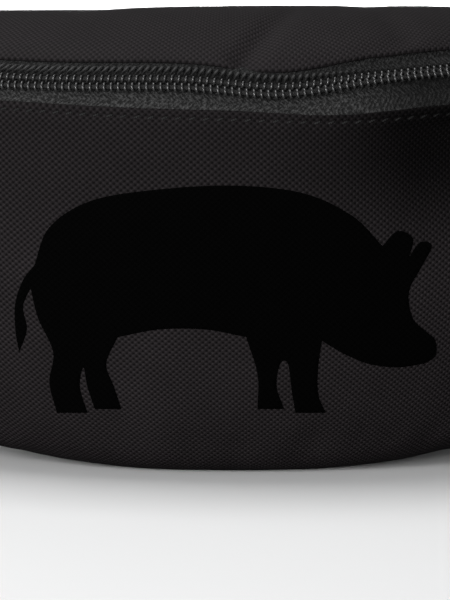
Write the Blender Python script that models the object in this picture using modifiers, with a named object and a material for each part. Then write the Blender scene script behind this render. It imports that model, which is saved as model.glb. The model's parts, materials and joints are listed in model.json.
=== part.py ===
"""A zipped belt bag that stands on its base with its belt buckled in a loop behind it.

Metres, +Z up. The front looks along -Y, and +X is to the right of someone who faces it.
The origin is the middle of the flat base, on the surface that the bag stands on.

The pouch is one upright section swept round a vertical axis, the front axis, so the zip is a
true circular arc and its slider can turn about that axis. Section points are (depth, height):
depth counts from the foremost line of the front towards the wearer.
"""

import bmesh
import bpy
from math import acos, asin, cos, hypot, pi, radians, sin, sqrt
from mathutils import Matrix, Vector

# Pouch
FRONT_RADIUS = 0.175        # the front in plan
BACK_RADIUS = 0.400         # the wearer's side in plan
POUCH_DEPTH = 0.072         # at the middle
END_ANGLE = radians(63.0)   # where the front meets the back, each side
STATIONS = 24               # facets from end to end
BULGE_RADIUS = 0.163        # the front seen from the side
BULGE_HEIGHT = 0.083        # height of its foremost line
BASE_ROUND = 0.014
BACK_ROUND = 0.008
BACK_TOP_ROUND = 0.009
TOP_ROUND = 0.043
TOP_START = radians(48.0)   # how far up the top panel faces where it leaves the zip
ZIP_FOOT = 0.101            # height of the zip's lower seam
ZIP_LEAN = radians(38.0)    # how far up the zip faces
ZIP_BAND = 0.0158           # visible width of the whole zip
KEPT_DEPTH = 0.012          # the front stretch that keeps its true depth from end to end
FULL_REACH = 0.040          # pouches thinner than this are squeezed evenly
SMILE_RADIUS = 0.380        # the lower edge, which rises towards both ends
TOP_FALL = 0.009            # how far the crest drops at the ends
FABRIC = 0.0015
PAD = 0.004                 # foam and cloth of the back panel
SEAM_GAP = 0.0006
SHARP = radians(50.0)       # edges sharper than this keep their crease in the shading

# Zip
ZIP_END_ANGLE = radians(46.0)
COIL_END_ANGLE = radians(43.0)
SLIDER_ANGLE = radians(40.0)
ZIP_STEPS = 34
TAPE = 0.0008
COIL_WIDTH = 0.0026         # one row of the coil
COIL_HEIGHT = 0.0024
COIL_PARTING = 0.0022       # clear way between the rows for the slider's neck
COIL_CLEAR = 0.0003         # between the coil and its tape
SLIDER_LENGTH = 0.0125
SLIDER_WIDTH = 0.0104
SLIDER_PLATE = 0.0011
SLIDER_CLEAR = 0.0004
EYE_HEIGHT = 0.0019         # under the slider's bridge
ROD = 0.0006                # half the thickness of the pull's link
LINK_AT = -0.0003           # the link's pin, along the slider from its middle
LINK_LENGTH = 0.0077
PULL_LENGTH = 0.034
PULL_WIDTH = 0.0085
PULL_THICK = 0.0017

# Wings, belt and buckle
WING_START = 0.1556         # x where the wing leaves the pouch
WING_END = 0.205
WING_ROOT_LOW, WING_ROOT_HIGH = 0.031, 0.113
WING_THICK = 0.004
WEBBING = 0.030
WEBBING_THICK = 0.0016
TURN_RADIUS = 0.055         # the belt's bend at each side
BELT_DROP = 0.205           # length over which each half comes down to the buckle
TIP_HEIGHT = 0.066          # middle of the wing's tip
WRAP_RADIUS = 0.0040        # the webbing's own turn round a bar
BUCKLE_WIDTH = 0.040
BUCKLE_THICK = 0.0110
SOCKET_END, SOCKET_MOUTH = -0.036, 0.006
INSERT_END = 0.027
BAR = 0.004                 # bar that the webbing turns round
BAR_THICK = 0.0038
SLOT = 0.005
WALL = 0.0018
TAIL_LENGTH = 0.085
FOLD_LENGTH = 0.030
TURN_STEPS, RUN_STEPS, WRAP_STEPS, TAIL_STEPS = 14, 6, 8, 4
KEEPER_AT = 0.078           # the elastic keeper's place along the belt
KEEPER_LENGTH = 0.012
KEEPER_THICK = 0.0012
KEEPER_LIFT = 0.0005

CLOTH = ("cloth", (0.020, 0.019, 0.0195), 0.85, 0.0)
MESH_PAD = ("pad_cloth", (0.018, 0.018, 0.018), 0.90, 0.0)
TAPE_FINISH = ("tape", (0.032, 0.032, 0.032), 0.80, 0.0)
COIL_FINISH = ("coil", (0.022, 0.022, 0.023), 0.30, 0.0)
SLIDER_FINISH = ("slider", (0.030, 0.030, 0.032), 0.35, 1.0)
PULL_FINISH = ("puller", (0.020, 0.020, 0.021), 0.55, 0.0)
WEBBING_FINISH = ("webbing", (0.016, 0.016, 0.017), 0.75, 0.0)
BUCKLE_FINISH = ("buckle", (0.014, 0.014, 0.015), 0.45, 0.0)

corner_angle = asin((BULGE_HEIGHT - BASE_ROUND) / (BULGE_RADIUS - BASE_ROUND))
corner_depth = BULGE_RADIUS - (BULGE_RADIUS - BASE_ROUND) * cos(corner_angle)
base_middle = (corner_depth + POUCH_DEPTH - BACK_ROUND) / 2
foot_angle = asin((ZIP_FOOT - BULGE_HEIGHT) / BULGE_RADIUS)
foot = (BULGE_RADIUS - BULGE_RADIUS * cos(foot_angle), ZIP_FOOT)
head = (foot[0] + ZIP_BAND * sin(ZIP_LEAN), foot[1] + ZIP_BAND * cos(ZIP_LEAN))
top_centre = (head[0] + TOP_ROUND * cos(TOP_START), head[1] - TOP_ROUND * sin(TOP_START))
crest = top_centre[1] + TOP_ROUND
back_top_depth = POUCH_DEPTH - BACK_TOP_ROUND
back_top_height = top_centre[1] + sqrt(
    (TOP_ROUND - BACK_TOP_ROUND) ** 2 - (back_top_depth - top_centre[0]) ** 2
)
top_end = pi - acos((back_top_depth - top_centre[0]) / (TOP_ROUND - BACK_TOP_ROUND))
axis_y = FRONT_RADIUS - base_middle
back_centre_y = POUCH_DEPTH + BACK_RADIUS - base_middle


def clear_scene():
    for obj in list(bpy.data.objects):
        bpy.data.objects.remove(obj, do_unlink=True)


def finish(obj, look, collection):
    """Puts obj in the collection with its material."""
    name, colour, roughness, metallic = look
    material = bpy.data.materials.get(name)
    if material is None:
        material = bpy.data.materials.new(name)
        material.use_nodes = True
        shader = material.node_tree.nodes["Principled BSDF"]
        shader.inputs["Base Color"].default_value = (*colour, 1.0)
        shader.inputs["Roughness"].default_value = roughness
        shader.inputs["Metallic"].default_value = metallic
    obj.data.materials.clear()
    obj.data.materials.append(material)
    for other in list(obj.users_collection):
        other.objects.unlink(obj)
    collection.objects.link(obj)
    return obj


def mesh_object(name, bm, look, collection):
    mesh = bpy.data.meshes.new(name)
    bm.to_mesh(mesh)
    bm.free()
    mesh.shade_smooth()
    mesh.set_sharp_from_angle(angle=SHARP)
    return finish(bpy.data.objects.new(name, mesh), look, collection)


def pivot(name, location, child, collection):
    """An empty on a joint's axis, which carries the piece that moves on it."""
    empty = bpy.data.objects.new(name, None)
    empty.location = location
    empty.empty_display_size = 0.01
    collection.objects.link(empty)
    child.parent = empty
    child.matrix_parent_inverse = Matrix.Translation(location).inverted()


def shaped_grid(columns, rows, where):
    """A bmesh grid whose point (i, j) stands at where(i, j)."""
    bm = bmesh.new()
    bmesh.ops.create_grid(bm, x_segments=columns - 1, y_segments=rows - 1, size=1.0)
    for vertex in bm.verts:
        i = round((vertex.co.x + 1) / 2 * (columns - 1))
        j = round((vertex.co.y + 1) / 2 * (rows - 1))
        vertex.co = where(i, j)
    return bm


def thicken(obj, thickness, offset=-1.0):
    solid = obj.modifiers.new("Thickness", "SOLIDIFY")
    solid.thickness = thickness
    solid.offset = offset
    solid.use_even_offset = True
    return obj


def sheet(name, columns, rows, where, outward, thickness, look, collection):
    """An open surface with its face towards outward, thickened to the inside."""
    bm = shaped_grid(columns, rows, where)
    bm.normal_update()
    target = where(columns // 2, rows // 2)
    nearest = min(bm.faces, key=lambda face: (face.calc_center_median() - target).length)
    if nearest.normal.dot(outward) < 0:
        bmesh.ops.reverse_faces(bm, faces=bm.faces)
    return thicken(mesh_object(name, bm, look, collection), thickness)


def arc(centre, radius, start, stop, count):
    """Section points on an arc; an angle of 0 faces the front and 90 degrees faces up."""
    angles = [start + (stop - start) * k / count for k in range(count + 1)]
    return [(centre[0] - radius * cos(a), centre[1] + radius * sin(a)) for a in angles]


def line(start, stop, count):
    return [
        (start[0] + (stop[0] - start[0]) * k / count, start[1] + (stop[1] - start[1]) * k / count)
        for k in range(count + 1)
    ]


def section():
    """The stretches of the pouch's section, each from the top down or the front back."""
    bulge = (BULGE_RADIUS, BULGE_HEIGHT)
    front = arc(bulge, BULGE_RADIUS, foot_angle, -corner_angle, 8)
    corner = arc((corner_depth, BASE_ROUND), BASE_ROUND, -corner_angle, -pi / 2, 5)
    base = line((corner_depth, 0.0), (POUCH_DEPTH - BACK_ROUND, 0.0), 2)
    heel = arc((POUCH_DEPTH - BACK_ROUND, BACK_ROUND), BACK_ROUND, -pi / 2, -pi, 3)
    back = line((POUCH_DEPTH, BACK_ROUND), (POUCH_DEPTH, back_top_height), 4)
    shoulder = arc((back_top_depth, back_top_height), BACK_TOP_ROUND, pi, top_end, 3)
    top = arc(top_centre, TOP_ROUND, top_end, TOP_START, 9)
    return {
        "front": front, "corner": corner, "base": base, "heel": heel,
        "back": back, "shoulder": shoulder, "top": top, "band": line(head, foot, 2),
    }


def reach(angle):
    """How deep the pouch is along the ray at that angle from the front axis."""
    apart = back_centre_y - axis_y
    along = apart * cos(angle)
    inner = -along + sqrt(along * along + BACK_RADIUS**2 - apart * apart)
    return FRONT_RADIUS - inner


def pouch_point(angle, depth, height, inset=0.0, back_inset=0.0):
    """A section point carried to its place on the pouch, moved in from the faces by the insets."""
    room = reach(angle) - inset - back_inset
    kept = KEPT_DEPTH * min(1.0, reach(angle) / FULL_REACH)
    if depth <= KEPT_DEPTH:
        into = depth * kept / KEPT_DEPTH
    else:
        into = kept + (depth - KEPT_DEPTH) * (room - kept) / (POUCH_DEPTH - KEPT_DEPTH)
    radius = FRONT_RADIUS - inset - into
    flat = FRONT_RADIUS * sin(END_ANGLE * 2 / STATIONS)
    out = max(0.0, FRONT_RADIUS * abs(sin(angle)) - flat)
    rise = out * out / (2 * SMILE_RADIUS) * max(0.0, 1 - height / ZIP_FOOT)
    fall = TOP_FALL * (angle / END_ANGLE) ** 2 * max(0.0, (height - head[1]) / (crest - head[1]))
    return Vector((radius * sin(angle), axis_y - radius * cos(angle), height + rise - fall))


def station(i):
    return -END_ANGLE + 2 * END_ANGLE * i / STATIONS


def trimmed(points, start=0.0, stop=0.0):
    """The points with each end drawn in along its own last piece, for a seam gap."""
    points = [Vector(p) for p in points]
    if start:
        points[0] += (points[1] - points[0]).normalized() * start
    if stop:
        points[-1] += (points[-2] - points[-1]).normalized() * stop
    return [tuple(p) for p in points]


def pouch_sheet(name, points, outward, thickness, look, collection):
    def where(i, j):
        return pouch_point(station(i), *points[j])

    return sheet(name, STATIONS + 1, len(points), where, outward, thickness, look, collection)


def make_panels(collection):
    parts = section()
    front = parts["front"] + parts["corner"][1:] + parts["base"][1:] + parts["heel"][1:]
    front = trimmed(front, start=SEAM_GAP)
    pouch_sheet("front_panel", front, Vector((0, -1, 0)), FABRIC, CLOTH, collection)
    back = trimmed(parts["back"], start=2 * SEAM_GAP, stop=2 * SEAM_GAP)
    pouch_sheet("back_panel", back, Vector((0, 1, 0)), PAD, MESH_PAD, collection)
    top = trimmed(parts["shoulder"] + parts["top"][1:], stop=SEAM_GAP)
    pouch_sheet("top_panel", top, Vector((0, 0, 1)), FABRIC, CLOTH, collection)


def make_filling(collection):
    """The lining and what fills it, as one solid inside the panels, recessed behind the zip."""
    parts = section()
    recess = 0.0052
    inward = Vector((cos(ZIP_LEAN), -sin(ZIP_LEAN))) * recess
    band = [tuple(Vector(p) + inward) for p in parts["band"]]
    ring = (
        parts["front"][1:] + parts["corner"][1:] + trimmed(parts["base"], stop=0.006)[1:]
        + trimmed(parts["back"], start=0.006) + parts["shoulder"][1:] + parts["top"][1:-1] + band
    )
    low, high, front_inset, back_inset = 0.0026, 0.0044, 0.0030, PAD + 0.0022
    scale = (crest - low - high) / crest
    stations = range(2, STATIONS - 1)
    bm = bmesh.new()
    rings = []
    for i in stations:
        points = [
            pouch_point(station(i), depth, low + height * scale, front_inset, back_inset)
            for depth, height in ring
        ]
        rings.append([bm.verts.new(point) for point in points])
    for first, second in zip(rings, rings[1:]):
        for k in range(len(ring)):
            following = (k + 1) % len(ring)
            bm.faces.new((first[k], first[following], second[following], second[k]))
    bm.faces.new(rings[0])
    bm.faces.new(rings[-1])
    bmesh.ops.recalc_face_normals(bm, faces=bm.faces)
    mesh_object("filled_lining", bm, CLOTH, collection)


def band_frame(across, out=0.0):
    """(depth, height) on the zip band: across from its lower seam, out from its face."""
    return (
        foot[0] + across * sin(ZIP_LEAN) - out * cos(ZIP_LEAN),
        foot[1] + across * cos(ZIP_LEAN) + out * sin(ZIP_LEAN),
    )


def revolved(name, profile, half_angle, steps, thickness, look, collection):
    """An open profile turned round the front axis with a Screw, then thickened inwards."""
    mesh = bpy.data.meshes.new(name)
    points = [
        (-sin(half_angle) * (FRONT_RADIUS - depth), -cos(half_angle) * (FRONT_RADIUS - depth), height)
        for depth, height in profile
    ]
    mesh.from_pydata(points, [(k, k + 1) for k in range(len(points) - 1)], [])
    obj = bpy.data.objects.new(name, mesh)
    obj.location = (0.0, axis_y, 0.0)
    finish(obj, look, collection)
    screw = obj.modifiers.new("Turn", "SCREW")
    screw.axis = "Z"
    screw.angle = 2 * half_angle
    screw.steps = steps
    screw.render_steps = steps
    screw.use_merge_vertices = False
    screw.use_smooth_shade = True
    return thicken(obj, thickness)


def make_zip(collection):
    middle = ZIP_BAND / 2
    parting = COIL_PARTING / 2
    tapes = {
        "zip_tape_lower": (SEAM_GAP, middle - parting),
        "zip_tape_upper": (middle + parting, ZIP_BAND - SEAM_GAP),
    }
    for name, (first, last) in tapes.items():
        profile = [band_frame(last), band_frame(first)]
        revolved(name, profile, ZIP_END_ANGLE, ZIP_STEPS, TAPE, TAPE_FINISH, collection)
    lift = COIL_HEIGHT + COIL_CLEAR
    rows = {
        "zip_coil_lower": (middle - parting - COIL_WIDTH, middle - parting),
        "zip_coil_upper": (middle + parting, middle + parting + COIL_WIDTH),
    }
    for name, (first, last) in rows.items():
        profile = [band_frame(last, lift), band_frame(first, lift)]
        revolved(name, profile, COIL_END_ANGLE, ZIP_STEPS, COIL_HEIGHT, COIL_FINISH, collection)


def make_zip_ends(collection):
    """The plain strips that carry the zip's band on to the ends of the pouch."""
    count = 6
    first = ZIP_END_ANGLE + SEAM_GAP / FRONT_RADIUS
    points = line(band_frame(ZIP_BAND - 3 * SEAM_GAP), band_frame(SEAM_GAP), 2)
    for side, name in ((-1, "zip_end_left"), (1, "zip_end_right")):

        def where(i, j):
            angle = side * (first + (END_ANGLE - first) * i / (count - 1))
            return pouch_point(angle, *points[j])

        outward = Vector((side * sin(END_ANGLE), -cos(END_ANGLE), 0.5))
        sheet(name, count, len(points), where, outward, FABRIC, CLOTH, collection)


def box(name, low, high, bevel=0.0):
    """A block between two corners, in its own coordinates, with its edges rounded."""
    bm = bmesh.new()
    bmesh.ops.create_cube(bm, size=1.0)
    size = Vector(high) - Vector(low)
    bmesh.ops.scale(bm, vec=size, verts=bm.verts)
    bmesh.ops.translate(bm, vec=(Vector(high) + Vector(low)) / 2, verts=bm.verts)
    if bevel:
        bmesh.ops.bevel(
            bm, geom=list(bm.edges), offset=bevel, segments=2, profile=0.5, affect="EDGES"
        )
    mesh = bpy.data.meshes.new(name)
    bm.to_mesh(mesh)
    bm.free()
    obj = bpy.data.objects.new(name, mesh)
    bpy.context.scene.collection.objects.link(obj)
    return obj


def combine(target, others, operation, helpers):
    """Booleans each of others into target and keeps them as hidden helpers."""
    for other in others:
        modifier = target.modifiers.new(operation.title(), "BOOLEAN")
        modifier.operation = operation
        modifier.object = other
        other.hide_render = True
        other.display_type = "WIRE"
        for collection in list(other.users_collection):
            collection.objects.unlink(other)
        helpers.objects.link(other)
        other.parent = target
    return target


def slider_matrix():
    """Slider axes: x along the zip to the right, y up across the band, z out from its face."""
    depth, height = band_frame(ZIP_BAND / 2)
    radius = FRONT_RADIUS - depth
    outwards = Vector((sin(SLIDER_ANGLE), -cos(SLIDER_ANGLE), 0))
    along = Vector((cos(SLIDER_ANGLE), sin(SLIDER_ANGLE), 0))
    across = -outwards * sin(ZIP_LEAN) + Vector((0, 0, cos(ZIP_LEAN)))
    out = outwards * cos(ZIP_LEAN) + Vector((0, 0, sin(ZIP_LEAN)))
    matrix = Matrix((along, across, out)).transposed().to_4x4()
    matrix.translation = Vector((0, axis_y, height)) + outwards * radius
    return matrix


def make_slider(collection, helpers):
    half_length, half_width = SLIDER_LENGTH / 2, SLIDER_WIDTH / 2
    inner = COIL_CLEAR + COIL_HEIGHT + SLIDER_CLEAR
    under = TAPE + SLIDER_CLEAR
    top = inner + SLIDER_PLATE
    slider = box(
        "zip_slider",
        (-half_length, -half_width, inner), (half_length, half_width, top), 0.0004,
    )
    bottom = box(
        "slider_bottom",
        (-half_length, -half_width, -under - SLIDER_PLATE), (half_length, half_width, -under), 0.0003,
    )
    neck_width = COIL_PARTING / 2 - SLIDER_CLEAR
    neck = box(
        "slider_neck",
        (half_length - 0.0035, -neck_width, -under - SLIDER_PLATE / 2),
        (half_length - 0.0008, neck_width, inner + SLIDER_PLATE / 2),
    )
    rim = 0.0009
    rims = [
        box(
            f"slider_rim_{n}",
            (-half_length + 0.0004, side * half_width - (rim if side > 0 else 0), 0.0011),
            (half_length - 0.0004, side * half_width + (0 if side > 0 else rim), inner + 0.0003),
        )
        for n, side in enumerate((-1, 1))
    ]
    bridge = box(
        "slider_bridge", (-0.0042, -0.0012, top - 0.0003), (0.0042, 0.0012, top + 0.0030), 0.0005
    )
    eye = box("slider_eye", (-0.0027, -0.0030, top), (0.0027, 0.0030, top + EYE_HEIGHT))
    combine(slider, [bottom, neck, *rims, bridge], "UNION", helpers)
    combine(slider, [eye], "DIFFERENCE", helpers)
    finish(slider, SLIDER_FINISH, collection)
    slider.matrix_world = slider_matrix()
    pivot("zip_slide_axis", (0.0, axis_y, 0.0), slider, collection)
    return top


def make_puller(collection, helpers, top):
    """A link through the slider's bridge and a flat tab, lying back over the closed teeth."""
    half_width = PULL_WIDTH / 2
    arm_inside, arm_outside = 0.0020, 0.0034
    puller = box("zip_puller", (-ROD, -arm_outside, -ROD), (ROD, arm_outside, ROD))
    arms = [
        box(
            f"pull_arm_{n}",
            (-LINK_LENGTH, min(side * arm_inside, side * arm_outside), -ROD),
            (ROD, max(side * arm_inside, side * arm_outside), ROD),
        )
        for n, side in enumerate((-1, 1))
    ]
    tab = box(
        "pull_tab",
        (-PULL_LENGTH, -half_width, -PULL_THICK / 2),
        (-LINK_LENGTH + 0.0015, half_width, PULL_THICK / 2),
        0.0006,
    )
    combine(puller, [*arms, tab], "UNION", helpers)
    finish(puller, PULL_FINISH, collection)
    place = slider_matrix() @ Matrix.Translation((LINK_AT, 0.0, top + EYE_HEIGHT / 2))
    puller.matrix_world = place
    pivot("puller_swing_axis", place.translation, puller, collection)


def wing_centre(x):
    """A point on the wings' middle surface, which carries on the curve of the back panel."""
    radius = BACK_RADIUS + PAD / 2
    return Vector((x, back_centre_y - sqrt(radius * radius - x * x), 0))


def make_wings(collection):
    columns, rows = 7, 7
    for side, name in ((-1, "wing_left"), (1, "wing_right")):

        def where(i, j):
            share = i / (columns - 1)
            x = WING_START + (WING_END - WING_START) * share
            ease = share * share * (3 - 2 * share)
            low = WING_ROOT_LOW + (TIP_HEIGHT - WEBBING / 2 - 0.001 - WING_ROOT_LOW) * ease
            high = WING_ROOT_HIGH + (TIP_HEIGHT + WEBBING / 2 + 0.001 - WING_ROOT_HIGH) * ease
            return wing_centre(side * x) + Vector((0, 0, low + (high - low) * j / (rows - 1)))

        obj = sheet(name, columns, rows, where, Vector((0, -1, 0)), WING_THICK, CLOTH, collection)
        obj.modifiers["Thickness"].offset = 0.0


def make_bindings(collection):
    """The bound seam down each end of the pouch, where the front meets the back."""
    for side, name in ((-1, "side_binding_left"), (1, "side_binding_right")):
        curve = bpy.data.curves.new(name, "CURVE")
        curve.dimensions = "3D"
        curve.bevel_depth = 0.0022
        curve.bevel_resolution = 2
        curve.use_fill_caps = True
        spline = curve.splines.new("POLY")
        heights = [0.004 + (crest - 0.008) * k / 8 for k in range(9)]
        spline.points.add(len(heights) - 1)
        for point, height in zip(spline.points, heights):
            at = pouch_point(side * END_ANGLE, POUCH_DEPTH * 0.5, height)
            outward = Vector((side * cos(END_ANGLE), sin(END_ANGLE), 0))
            point.co = (*(at + outward * 0.0030), 1.0)
        finish(bpy.data.objects.new(name, curve), TAPE_FINISH, collection)


def belt_height(length):
    """Height of the webbing's middle that far from the wing; the buckle stands on the floor."""
    share = min(1.0, length / BELT_DROP)
    ease = share * share * (3 - 2 * share)
    return TIP_HEIGHT + (BUCKLE_WIDTH / 2 - TIP_HEIGHT) * ease


def belt_plan(side, bar, returned):
    """Plan of one belt half: round the side, straight to its bar, round that and back inside."""
    start = wing_centre(side * (WING_END + SEAM_GAP))
    sweep = asin(WING_END / (BACK_RADIUS + PAD / 2))
    centre = start + Vector((-side * sin(sweep), cos(sweep), 0)) * TURN_RADIUS
    points = [start]
    for k in range(1, TURN_STEPS + 1):
        heading = sweep + (pi - sweep) * k / TURN_STEPS
        points.append(centre + Vector((side * sin(heading), -cos(heading), 0)) * TURN_RADIUS)
    begin, rear = abs(points[-1].x), points[-1].y
    for k in range(1, RUN_STEPS + 1):
        points.append(Vector((side * (begin + (bar - begin) * k / RUN_STEPS), rear, 0)))
    for k in range(1, WRAP_STEPS):
        a = pi * k / WRAP_STEPS
        out, in_ = WRAP_RADIUS * sin(a), WRAP_RADIUS * (1 - cos(a))
        points.append(Vector((side * (bar - out), rear - in_, 0)))
    for k in range(TAIL_STEPS + 1):
        x = bar + returned * k / TAIL_STEPS
        points.append(Vector((side * x, rear - 2 * WRAP_RADIUS, 0)))
    return points


def ribbon(name, plan, width, thickness, look, collection):
    """A band on edge along a plan route, its middle at the belt's height."""
    lengths = [0.0]
    for first, second in zip(plan, plan[1:]):
        lengths.append(lengths[-1] + hypot(second.x - first.x, second.y - first.y))

    def where(i, j):
        middle = belt_height(lengths[i])
        return Vector((plan[i].x, plan[i].y, middle + width * (j / 2 - 0.5)))

    bm = shaped_grid(len(plan), 3, where)
    return thicken(mesh_object(name, bm, look, collection), thickness, offset=0.0)


def make_belt(collection):
    """Both halves; the right one ends in the long tail that takes up spare length."""
    halves = (
        (-1, "belt_left", -SOCKET_END - BAR / 2, FOLD_LENGTH),
        (1, "belt_right", INSERT_END - BAR / 2, TAIL_LENGTH),
    )
    for side, name, bar, returned in halves:
        plan = belt_plan(side, bar, returned)
        ribbon(name, plan, WEBBING, WEBBING_THICK, WEBBING_FINISH, collection)


def buckle_place():
    """Middle of the buckle's length, thickness and width: it stands on the floor on edge."""
    return Vector((0.0, belt_plan(1, 0.0, 0.0)[-1].y + WRAP_RADIUS, BUCKLE_WIDTH / 2))


def bar_recesses(name, middle, half_width):
    """What is cut from both faces over a bar, so that the webbing turned round it lies flush."""
    return [
        box(
            f"{name}_recess_{n}",
            (middle - BAR, min(side * BAR_THICK / 2, side * 0.02), -half_width),
            (middle + BAR, max(side * BAR_THICK / 2, side * 0.02), half_width),
        )
        for n, side in enumerate((-1, 1))
    ]


def make_buckle(collection, helpers):
    """Side-release buckle on edge: x along the belt, y through its thickness, z across the webbing."""
    half, thick = BUCKLE_WIDTH / 2, BUCKLE_THICK / 2
    slot_half = WEBBING / 2 + 0.0012

    socket = box("buckle_socket", (SOCKET_END, -thick, -half), (SOCKET_MOUTH, thick, half), 0.0022)
    cavity = box(
        "socket_cavity",
        (SOCKET_END + BAR + SLOT + 0.005, -thick + WALL, -half + WALL + 0.001),
        (SOCKET_MOUTH + 0.01, thick - WALL, half - WALL - 0.001),
    )
    windows = [
        box(
            f"socket_window_{n}",
            (-0.0175, -thick + WALL, side * half - 0.006), (-0.0045, thick - WALL, side * half + 0.006),
        )
        for n, side in enumerate((-1, 1))
    ]
    slot = box(
        "socket_slot",
        (SOCKET_END + BAR, -0.02, -slot_half), (SOCKET_END + BAR + SLOT, 0.02, slot_half),
    )
    recesses = bar_recesses("socket", SOCKET_END + BAR / 2, slot_half)
    combine(socket, [cavity, *windows, slot, *recesses], "DIFFERENCE", helpers)
    finish(socket, BUCKLE_FINISH, collection)
    socket.location = buckle_place()

    flange = SOCKET_MOUTH + 0.0006
    insert = box(
        "buckle_insert", (flange, -thick, -half), (INSERT_END, thick, half), 0.0022
    )
    clear = 0.0005
    arm_thick = thick - WALL - clear
    inside = half - WALL - 0.001 - clear
    tongue = box(
        "insert_tongue", (-0.016, -arm_thick, -0.0045), (flange + 0.003, arm_thick, 0.0045), 0.0008
    )
    arms = [
        box(
            f"insert_arm_{n}",
            (-0.0165, -arm_thick, min(side * inside, side * (inside - 0.0042))),
            (flange + 0.003, arm_thick, max(side * inside, side * (inside - 0.0042))),
            0.0008,
        )
        for n, side in enumerate((-1, 1))
    ]
    insert_slot = box(
        "insert_slot",
        (INSERT_END - BAR - SLOT, -0.02, -slot_half), (INSERT_END - BAR, 0.02, slot_half),
    )
    combine(insert, [tongue, *arms], "UNION", helpers)
    recesses = bar_recesses("insert", INSERT_END - BAR / 2, slot_half)
    combine(insert, [insert_slot, *recesses], "DIFFERENCE", helpers)
    finish(insert, BUCKLE_FINISH, collection)
    insert.location = buckle_place()


def make_keeper(collection, helpers):
    """The elastic loop that holds the belt's tail against the belt."""
    reach_y = WRAP_RADIUS + WEBBING_THICK / 2 + 0.0005
    tall = WEBBING / 2 + 0.0016
    outer = Vector((KEEPER_LENGTH / 2, reach_y + KEEPER_THICK, tall + KEEPER_THICK))
    inner = Vector((KEEPER_LENGTH, reach_y, tall))
    keeper = box("belt_keeper", -outer, outer)
    hole = box("keeper_hole", -inner, inner)
    combine(keeper, [hole], "DIFFERENCE", helpers)
    finish(keeper, WEBBING_FINISH, collection)
    keeper.location = buckle_place() + Vector((KEEPER_AT, 0, KEEPER_LIFT))


def main():
    clear_scene()
    scene = bpy.context.scene
    collection = bpy.data.collections.new("belt_bag")
    helpers = bpy.data.collections.new("cutters")
    scene.collection.children.link(collection)
    scene.collection.children.link(helpers)
    make_panels(collection)
    make_filling(collection)
    make_zip(collection)
    make_zip_ends(collection)
    top = make_slider(collection, helpers)
    make_puller(collection, helpers, top)
    make_wings(collection)
    make_bindings(collection)
    make_belt(collection)
    make_buckle(collection, helpers)
    make_keeper(collection, helpers)


main()
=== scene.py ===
import json
from math import acos, asin, cos, pi, radians, sin, sqrt

import bmesh
import bpy
import numpy as np
from mathutils import Matrix, Vector
from mathutils.bvhtree import BVHTree


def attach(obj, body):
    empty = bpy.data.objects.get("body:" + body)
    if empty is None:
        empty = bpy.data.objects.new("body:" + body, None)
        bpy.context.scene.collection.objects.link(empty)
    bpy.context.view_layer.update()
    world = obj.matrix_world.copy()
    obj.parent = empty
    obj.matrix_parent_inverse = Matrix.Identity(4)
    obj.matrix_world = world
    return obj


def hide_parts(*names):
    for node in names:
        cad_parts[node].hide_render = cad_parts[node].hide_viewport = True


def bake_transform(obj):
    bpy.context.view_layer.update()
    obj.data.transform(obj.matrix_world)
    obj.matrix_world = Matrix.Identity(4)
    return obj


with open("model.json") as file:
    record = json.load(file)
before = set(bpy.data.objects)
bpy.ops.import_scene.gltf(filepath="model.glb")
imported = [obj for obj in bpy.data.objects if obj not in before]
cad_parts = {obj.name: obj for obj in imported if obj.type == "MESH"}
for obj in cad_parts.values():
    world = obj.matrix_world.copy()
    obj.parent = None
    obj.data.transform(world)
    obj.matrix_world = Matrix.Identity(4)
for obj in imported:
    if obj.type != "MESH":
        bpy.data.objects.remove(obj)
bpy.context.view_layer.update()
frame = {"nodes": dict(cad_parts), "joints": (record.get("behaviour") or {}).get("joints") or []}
scene = bpy.context.scene
mm = 0.001
print("frame loaded:", len(frame["nodes"]), "nodes")

# the pouch's own shape: one upright section carried round the front axis
pouch = {
    "frontRadius": 0.175, "backRadius": 0.400, "depth": 0.072, "endAngle": radians(63),
    "bulgeRadius": 0.163, "bulgeHeight": 0.083, "baseRound": 0.014, "backRound": 0.008,
    "shoulderRound": 0.009, "topRound": 0.043, "topStart": radians(48),
    "zipFoot": 0.101, "zipLean": radians(38), "zipBand": 0.0158, "keptDepth": 0.012,
    "fullReach": 0.040, "smileRadius": 0.380, "smileFlat": radians(5.25), "topFall": 0.009,
    "padThick": 0.004,
}
pins = {joint["name"]: Vector(joint["pos_m"]) for joint in frame["joints"] if "pos_m" in joint}
axisY = pins["zip_slide"].y
frontY = axisY - pouch["frontRadius"]
backCentreY = frontY + pouch["depth"] + pouch["backRadius"]
bulge = (pouch["bulgeRadius"], pouch["bulgeHeight"])
cornerAngle = asin((bulge[1] - pouch["baseRound"]) / (bulge[0] - pouch["baseRound"]))
cornerDepth = bulge[0] - (bulge[0] - pouch["baseRound"]) * cos(cornerAngle)
footAngle = asin((pouch["zipFoot"] - bulge[1]) / bulge[0])
foot = np.array([bulge[0] - bulge[0] * cos(footAngle), pouch["zipFoot"]])
bandUp = np.array([sin(pouch["zipLean"]), cos(pouch["zipLean"])])
bandOut = np.array([-cos(pouch["zipLean"]), sin(pouch["zipLean"])])
head = foot + pouch["zipBand"] * bandUp
topCentre = head + pouch["topRound"] * np.array([cos(pouch["topStart"]), -sin(pouch["topStart"])])
crest = topCentre[1] + pouch["topRound"]
shoulderDepth = pouch["depth"] - pouch["shoulderRound"]
shoulderRun = pouch["topRound"] - pouch["shoulderRound"]
shoulderHeight = topCentre[1] + sqrt(shoulderRun**2 - (shoulderDepth - topCentre[0]) ** 2)
topEnd = pi - acos((shoulderDepth - topCentre[0]) / shoulderRun)


def reach(angle):  # how deep the pouch is at that angle round the front axis
    apart = backCentreY - axisY
    along = apart * np.cos(angle)
    return pouch["frontRadius"] + along - np.sqrt(along**2 + pouch["backRadius"] ** 2 - apart**2)


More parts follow.
